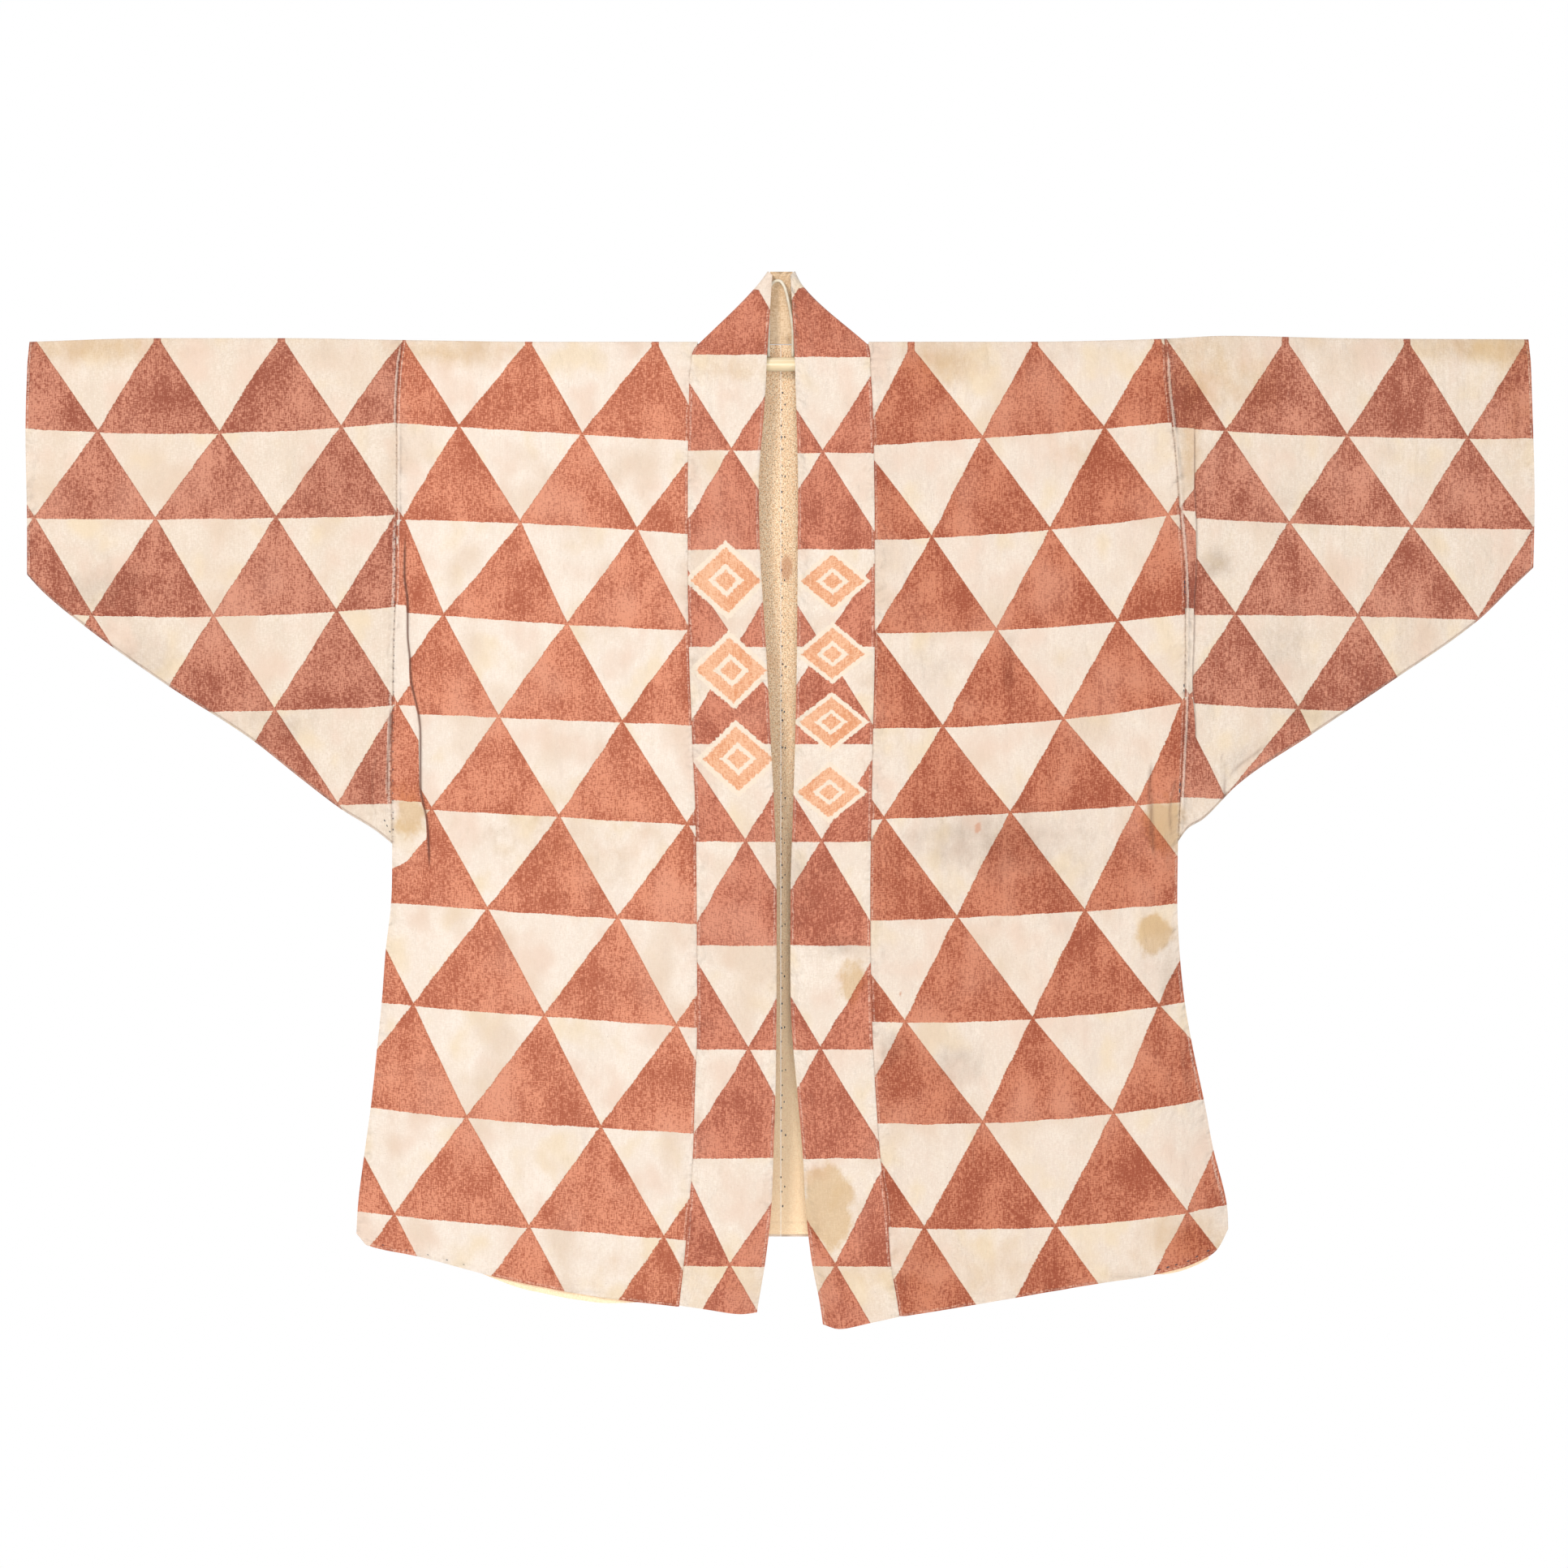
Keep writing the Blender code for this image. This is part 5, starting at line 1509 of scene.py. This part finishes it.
def lining_cotton(name):
    """Coarse unbleached cotton: open, slubby threads with dark flecks of husk."""
    material, tree, shader = new_material(name, roughness=0.95, sheen=0.1)
    uv = add_node(tree, "ShaderNodeUVMap", uv_map="Cloth").outputs["UV"]
    weave = threads(tree, uv, LINING_PITCH)
    colour = paint_over(tree, linear("#E3B98D"), linear("#FFE9CA"), weave, 0.75, 1.2)
    patchy = cloth_noise(tree, uv, 22.0, 34.0, detail=3.0, offset=27.0)
    colour = paint_over(tree, colour, linear("#EBC39C"), patchy, 0.5, 0.8, end=0.6)
    fleck = cloth_noise(tree, uv, 0.9, 1.2, detail=2.0, offset=31.0)
    # Painted light: the lining is lighter and less flecked towards the bottom, to lift the shade deep in the
    # gap between the fronts
    place = add_node(tree, "ShaderNodeTexCoord").outputs["Object"]
    height = add_node(tree, "ShaderNodeSeparateXYZ", {0: place}).outputs["Z"]
    painted_lift = add_node(
        tree,
        "ShaderNodeMapRange",
        {"Value": height, "From Min": -0.7, "From Max": -0.3, "To Min": 0.78, "To Max": 1.0},
    ).outputs[0]
    colour = paint_over(tree, colour, linear("#FFE6C2"), painted_lift, 0.78, 1.0, start=0.7, end=0.0)
    fleck = add_node(tree, "ShaderNodeMath", {0: fleck, 1: painted_lift}, operation="MULTIPLY").outputs[0]
    colour = paint_over(tree, colour, linear("#7A5A44"), fleck, 0.56, 0.68, end=0.75)
    colour = aged(tree, uv, colour, "#EBCB9E", "#C4BAB0")
    tree.links.new(colour, shader.inputs["Base Color"])
    cloth_relief(tree, shader, uv, weave, thread_depth=0.4, wrinkle_depth=1.2)
    return material


def ivory_lacquer(name):
    """Ivory lacquer brushed on a turned wooden rod: smooth and glossy, faintly streaked along it."""
    material, tree, shader = new_material(name, roughness=0.28)
    shader.inputs["IOR"].default_value = 1.5
    shader.inputs["Subsurface Weight"].default_value = 0.1
    shader.inputs["Subsurface Scale"].default_value = 0.004
    place = add_node(tree, "ShaderNodeTexCoord").outputs["Object"]
    drawn = add_node(tree, "ShaderNodeMapping", {"Vector": place, "Scale": (9.0, 420.0, 420.0)})
    streak = add_node(
        tree, "ShaderNodeTexNoise", {"Vector": drawn.outputs[0], "Scale": 1.0, "Detail": 3.0}
    ).outputs["Fac"]
    colour = paint_over(tree, linear("#DCC7A0"), linear("#EADDC0"), streak, 0.3, 0.7)
    tree.links.new(colour, shader.inputs["Base Color"])
    scuffed = add_node(
        tree,
        "ShaderNodeMapRange",
        {"Value": streak, "From Min": 0.2, "From Max": 0.8, "To Min": 0.24, "To Max": 0.36},
    )
    tree.links.new(scuffed.outputs[0], shader.inputs["Roughness"])
    bump = add_node(tree, "ShaderNodeBump", {"Strength": 0.4, "Distance": 0.05 * MM, "Height": streak})
    tree.links.new(bump.outputs[0], shader.inputs["Normal"])
    return material


def mottled(tree, shader, dark, light, *, scale, detail, bump, bump_depth):
    """A surface of two close colours with the same grain in its relief."""
    place = add_node(tree, "ShaderNodeTexCoord").outputs["Object"]
    grain = add_node(
        tree, "ShaderNodeTexNoise", {"Vector": place, "Scale": scale, "Detail": detail}
    ).outputs["Fac"]
    colour = paint_over(tree, linear(dark), linear(light), grain, 0.3, 0.7)
    tree.links.new(colour, shader.inputs["Base Color"])
    bump = add_node(
        tree, "ShaderNodeBump", {"Strength": bump, "Distance": bump_depth * MM, "Height": grain}
    )
    tree.links.new(bump.outputs[0], shader.inputs["Normal"])


def vinyl_coat(name):
    """White vinyl dipped over wire: soft gloss, slightly yellowed and uneven."""
    material, tree, shader = new_material(name, roughness=0.35)
    mottled(tree, shader, "#CFC3AC", "#DED7C8", scale=180.0, detail=2.0, bump=0.3, bump_depth=0.1)
    return material


def spun_thread(name, dark, light):
    """Two-ply cotton thread: matt, with a twist that catches light along each stitch."""
    material, tree, shader = new_material(name, roughness=0.85, sheen=0.2)
    mottled(tree, shader, dark, light, scale=1400.0, detail=1.0, bump=0.6, bump_depth=0.1)
    return material


def limewash(name):
    """A painted studio floor: pale, matt and very slightly mottled."""
    material, tree, shader = new_material(name, roughness=0.9)
    mottled(tree, shader, "#F2F2F0", "#F8F8F7", scale=3.0, detail=3.0, bump=0.05, bump_depth=0.2)
    return material


def stitch_tree():
    """Running stitches: small spindles laid end to end along a path."""
    tree = bpy.data.node_groups.new("Running stitches", "GeometryNodeTree")
    face = tree.interface
    face.new_socket("Geometry", in_out="INPUT", socket_type="NodeSocketGeometry")
    for label in ("Spacing", "Stitch length", "Thread radius", "Unevenness"):
        face.new_socket(label, in_out="INPUT", socket_type="NodeSocketFloat")
    face.new_socket("Seed", in_out="INPUT", socket_type="NodeSocketInt")
    face.new_socket("Thread", in_out="INPUT", socket_type="NodeSocketMaterial")
    face.new_socket("Geometry", in_out="OUTPUT", socket_type="NodeSocketGeometry")
    given = add_node(tree, "NodeGroupInput").outputs
    path = add_node(tree, "GeometryNodeMeshToCurve", {0: given["Geometry"]})
    points = add_node(
        tree,
        "GeometryNodeCurveToPoints",
        {"Curve": path.outputs[0], "Length": given["Spacing"]},
        mode="LENGTH",
    )
    spindle = add_node(tree, "GeometryNodeMeshUVSphere", {"Segments": 6, "Rings": 5, "Radius": 1.0})
    half = add_node(tree, "ShaderNodeMath", {0: given["Stitch length"], 1: 0.5}, operation="MULTIPLY")
    size = add_node(
        tree,
        "ShaderNodeCombineXYZ",
        {0: given["Thread radius"], 1: given["Thread radius"], 2: half.outputs[0]},
    )
    least = add_node(tree, "ShaderNodeMath", {0: 1.0, 1: given["Unevenness"]}, operation="SUBTRACT")
    most = add_node(tree, "ShaderNodeMath", {0: 1.0, 1: given["Unevenness"]}, operation="ADD")
    # Random Value has its float limits at sockets 2 and 3, and its float result at 1
    vary = add_node(
        tree,
        "FunctionNodeRandomValue",
        {2: least.outputs[0], 3: most.outputs[0], "Seed": given["Seed"]},
        data_type="FLOAT",
    )
    factor = vary.outputs[1]
    scale = add_node(tree, "ShaderNodeVectorMath", {0: size.outputs[0], "Scale": factor}, operation="SCALE")
    laid = add_node(
        tree,
        "GeometryNodeInstanceOnPoints",
        {
            "Points": points.outputs["Points"],
            "Instance": spindle.outputs[0],
            "Rotation": points.outputs["Rotation"],
            "Scale": scale.outputs[0],
        },
    )
    real = add_node(tree, "GeometryNodeRealizeInstances", {0: laid.outputs[0]})
    painted = add_node(tree, "GeometryNodeSetMaterial", {0: real.outputs[0], "Material": given["Thread"]})
    smooth_faces = add_node(tree, "GeometryNodeSetShadeSmooth", {0: painted.outputs[0]})
    add_node(tree, "NodeGroupOutput", {0: smooth_faces.outputs[0]})
    return tree


def stitched(name, tree, paths, thread, *, length, radius, seed):
    """A plain mesh with one stitch on each short path of points."""
    points, edges = [], []
    for path in paths:
        first = len(points)
        points += (np.asarray(path, float) * MM).tolist()
        edges += [(k, k + 1) for k in range(first, len(points) - 1)]
    mesh = bpy.data.meshes.new(name + "_path")
    mesh.from_pydata(points, edges, [])
    guide = bpy.data.objects.new(name + "_path", mesh)
    bpy.context.collection.objects.link(guide)
    modifier = guide.modifiers.new("Stitches", "NODES")
    modifier.node_group = tree
    values = {
        "Spacing": STITCH_SPACING * MM,
        "Stitch length": length * MM,
        "Thread radius": radius * MM,
        "Unevenness": STITCH_UNEVENNESS,
        "Seed": seed,
        "Thread": thread,
    }
    for item in tree.interface.items_tree:
        if item.in_out == "INPUT" and item.name in values:
            modifier[item.identifier] = values[item.name]
    ready = guide.evaluated_get(bpy.context.evaluated_depsgraph_get())
    made = bpy.data.meshes.new_from_object(ready)
    made.name = name
    piece = bpy.data.objects.new(name, made)
    bpy.context.collection.objects.link(piece)
    bpy.data.objects.remove(guide, do_unlink=True)
    return piece


def scattered(path, least, most, random):
    """Short pieces of a path, one for each stitch, at uneven distances."""
    length = np.concatenate([[0], np.cumsum(np.linalg.norm(np.diff(path, axis=0), axis=1))])
    pieces = []
    at = random.uniform(0, most - least)
    while at < length[-1] - STITCH_PIECE:
        ends = np.array([at, at + STITCH_PIECE])
        pieces.append(np.stack([np.interp(ends, length, path[:, k]) for k in range(3)], -1))
        at += random.uniform(least, most)
    return pieces


def seam_paths(seam, random):
    """The stitches of one seam, laid on the front's outer face."""
    table = np.array(seam.points, float)
    length = np.concatenate([[0], np.cumsum(np.hypot(*np.diff(table, axis=0).T))])
    at = np.arange(0, length[-1])
    xs, zs = [np.interp(at, length, table[:, k]) for k in (0, 1)]
    ys = -(depth("front", seam.side, xs, zs) + seam.lift)
    return scattered(np.stack([xs, ys, zs], -1), *seam.spacing, random)


def centre_seam_paths(random):
    """Stray stitches down the middle of the back lining, seen through the open front."""
    zs = np.arange(CENTRE_TOP_Z, CENTRE_LOW_Z, -2.0)
    pieces = []
    for row in CENTRE_ROWS:
        xs = row.x + CENTRE_DRIFT * uneven(zs, CENTRE_WAVE, row.x)
        ys = depth("back", "left", np.maximum(xs, GAP), zs) - CLOTH - GAP - LINING - THREAD_PROUD
        pieces += scattered(np.stack([xs, ys, zs], -1), *row.spacing, random)
    return pieces


def wire_loop(material):
    """The coated wire: up from the rod, over a lopsided arch and down to the rod again."""
    points = [Vector((point.x, 0, point.z)) for point in WIRE_ARCH]
    path = []
    for k in range(len(points) - 1):
        here, there = points[k], points[k + 1]
        leaving = (there - points[max(k - 1, 0)]) / 2
        arriving = (points[min(k + 2, len(points) - 1)] - here) / 2
        for t in np.arange(WIRE_STEPS) / WIRE_STEPS:
            path.append(
                here * (2 * t**3 - 3 * t**2 + 1)
                + leaving * (t**3 - 2 * t**2 + t)
                + there * (3 * t**2 - 2 * t**3)
                + arriving * (t**3 - t**2)
            )
    path.append(points[-1])
    path = np.array([tuple(p) for p in path])
    along = np.gradient(path, axis=0)
    along /= np.linalg.norm(along, axis=1, keepdims=True)
    level = np.stack([-along[:, 2], np.zeros(len(path)), along[:, 0]], -1)
    turns = np.arange(WIRE_SIDES) * 2 * math.pi / WIRE_SIDES
    ahead = np.array([0, 1.0, 0])
    ring = np.cos(turns)[None, :, None] * level[:, None] + np.sin(turns)[None, :, None] * ahead
    points = (path[:, None] + WIRE_RADIUS * ring).reshape(-1, 3) * MM
    faces = []
    for i in range(len(path) - 1):
        for k in range(WIRE_SIDES):
            k2 = (k + 1) % WIRE_SIDES
            first, second = i * WIRE_SIDES, (i + 1) * WIRE_SIDES
            faces.append([first + k, second + k, second + k2, first + k2])
    faces.append(list(range(WIRE_SIDES)))
    faces.append(list(reversed(range((len(path) - 1) * WIRE_SIDES, len(path) * WIRE_SIDES))))
    mesh = bpy.data.meshes.new("wire_loop")
    mesh.from_pydata(points.tolist(), [], faces)
    mesh.shade_smooth()
    mesh.materials.append(material)
    loop = bpy.data.objects.new("wire_loop", mesh)
    bpy.context.collection.objects.link(loop)
    return loop


def add_light(lamp):
    light = bpy.data.lights.new(lamp.name, "AREA")
    light.shape = "SQUARE"
    light.size = lamp.size
    light.energy = lamp.power
    light.color = linear(lamp.colour)[:3]
    holder = bpy.data.objects.new(lamp.name, light)
    holder.location = lamp.place
    bpy.context.collection.objects.link(holder)
    way = Vector(lamp.target) - holder.location
    holder.rotation_euler = way.to_track_quat("-Z", "Y").to_euler()


def stage():
    """A pale floor, even white surroundings, four soft lights and the camera."""
    size = FLOOR_HALF
    corners = [(-size, -size, FLOOR_Z), (size, -size, FLOOR_Z), (size, size, FLOOR_Z), (-size, size, FLOOR_Z)]
    mesh = bpy.data.meshes.new("floor")
    mesh.from_pydata(corners, [], [(0, 1, 2, 3)])
    mesh.materials.append(limewash("limewashed floor"))
    floor = bpy.data.objects.new("floor", mesh)
    bpy.context.collection.objects.link(floor)

    world = bpy.data.worlds.new("studio")
    world.use_nodes = True
    sky = world.node_tree.nodes["Background"]
    tree = world.node_tree
    way = add_node(tree, "ShaderNodeTexCoord").outputs["Generated"]
    parts = add_node(tree, "ShaderNodeSeparateXYZ", {0: way})
    strength = add_node(
        tree,
        "ShaderNodeMapRange",
        {"Value": parts.outputs["Y"], "From Min": -0.3, "From Max": 0.5, "To Min": 0.5, "To Max": 1.0},
    )
    sky.inputs["Color"].default_value = (1.0, 1.0, 1.0, 1.0)
    tree.links.new(strength.outputs[0], sky.inputs["Strength"])
    bpy.context.scene.world = world
    for lamp in LAMPS:
        add_light(lamp)

    camera = bpy.data.cameras.new("camera")
    camera.lens = LENS
    camera.sensor_width = SENSOR
    camera.clip_end = 50
    eye = bpy.data.objects.new("camera", camera)
    eye.location = (VIEW_CENTRE[0], -(VIEW_WIDTH * LENS / SENSOR) - VIEW_CENTRE[1], VIEW_CENTRE[2])
    eye.rotation_euler = (math.pi / 2, 0, 0)
    bpy.context.collection.objects.link(eye)
    bpy.context.scene.camera = eye
    bpy.context.scene.view_settings.view_transform = "Standard"


def finish(piece, node):
    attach(piece, "root")
    if node:
        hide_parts(node)


def build():
    """Makes every visible piece. The brick red is faded most on the right body length."""
    length_cotton = {
        "right": dyed_cotton(
            "resist-printed cotton, right length",
            red=("#9F543B", "#CF886B"),
            cream=("#D9CBBE", "#E1D5CA"),
            outline="#A8653F",
        ),
        "left": dyed_cotton(
            "resist-printed cotton, left length",
            red=("#92472F", "#C27B5E"),
            cream=("#D4C4B6", "#DCCFC2"),
            outline="#9C5A38",
        ),
    }
    sleeve_cotton = dyed_cotton(
        "resist-printed cotton, sleeves",
        red=("#8B4835", "#C2836B"),
        cream=("#D1C1B1", "#DBCEC1"),
        outline="#8F5538",
    )
    band_cotton = dyed_cotton(
        "resist-printed cotton, bands",
        red=("#964E39", "#C67F65"),
        cream=("#D7C8BA", "#E0D4C8"),
        outline="#96553B",
        lozenges=True,
    )
    lining_cloth = lining_cotton("unbleached lining cotton")
    for side in ("right", "left"):
        coat, grid, maps = body(side, length_cotton[side])
        finish(coat, "body_" + side)
        arm = sleeve(side, sleeve_cotton)
        finish(arm, "sleeve_" + side)
        for face in ("front", "back"):
            inside = lining(face, side, grid, maps, lining_cloth)
            finish(inside, "lining_" + face + "_" + side)
    band = collar(band_cotton)
    finish(band, "collar")

    loop = wire_loop(vinyl_coat("vinyl-dipped wire"))
    finish(loop, "hanger_loop")
    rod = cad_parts["hanger_rod"]
    rod.data.materials.clear()
    rod.data.materials.append(ivory_lacquer("ivory-lacquered wood"))

    tree = stitch_tree()
    random = np.random.default_rng(7)
    navy = spun_thread("navy cotton thread", "#1F2633", "#3D475A")
    paths = centre_seam_paths(random)
    centre = stitched("centre_stitches", tree, paths, navy, length=1.7, radius=0.5, seed=3)
    finish(centre, None)
    for number, seam in enumerate(NAVY_SEAMS):
        name = "seam_stitches_" + str(number + 1)
        paths = seam_paths(seam, random)
        row = stitched(name, tree, paths, navy, length=seam.length, radius=seam.radius, seed=number)
        finish(row, None)


build()
stage()
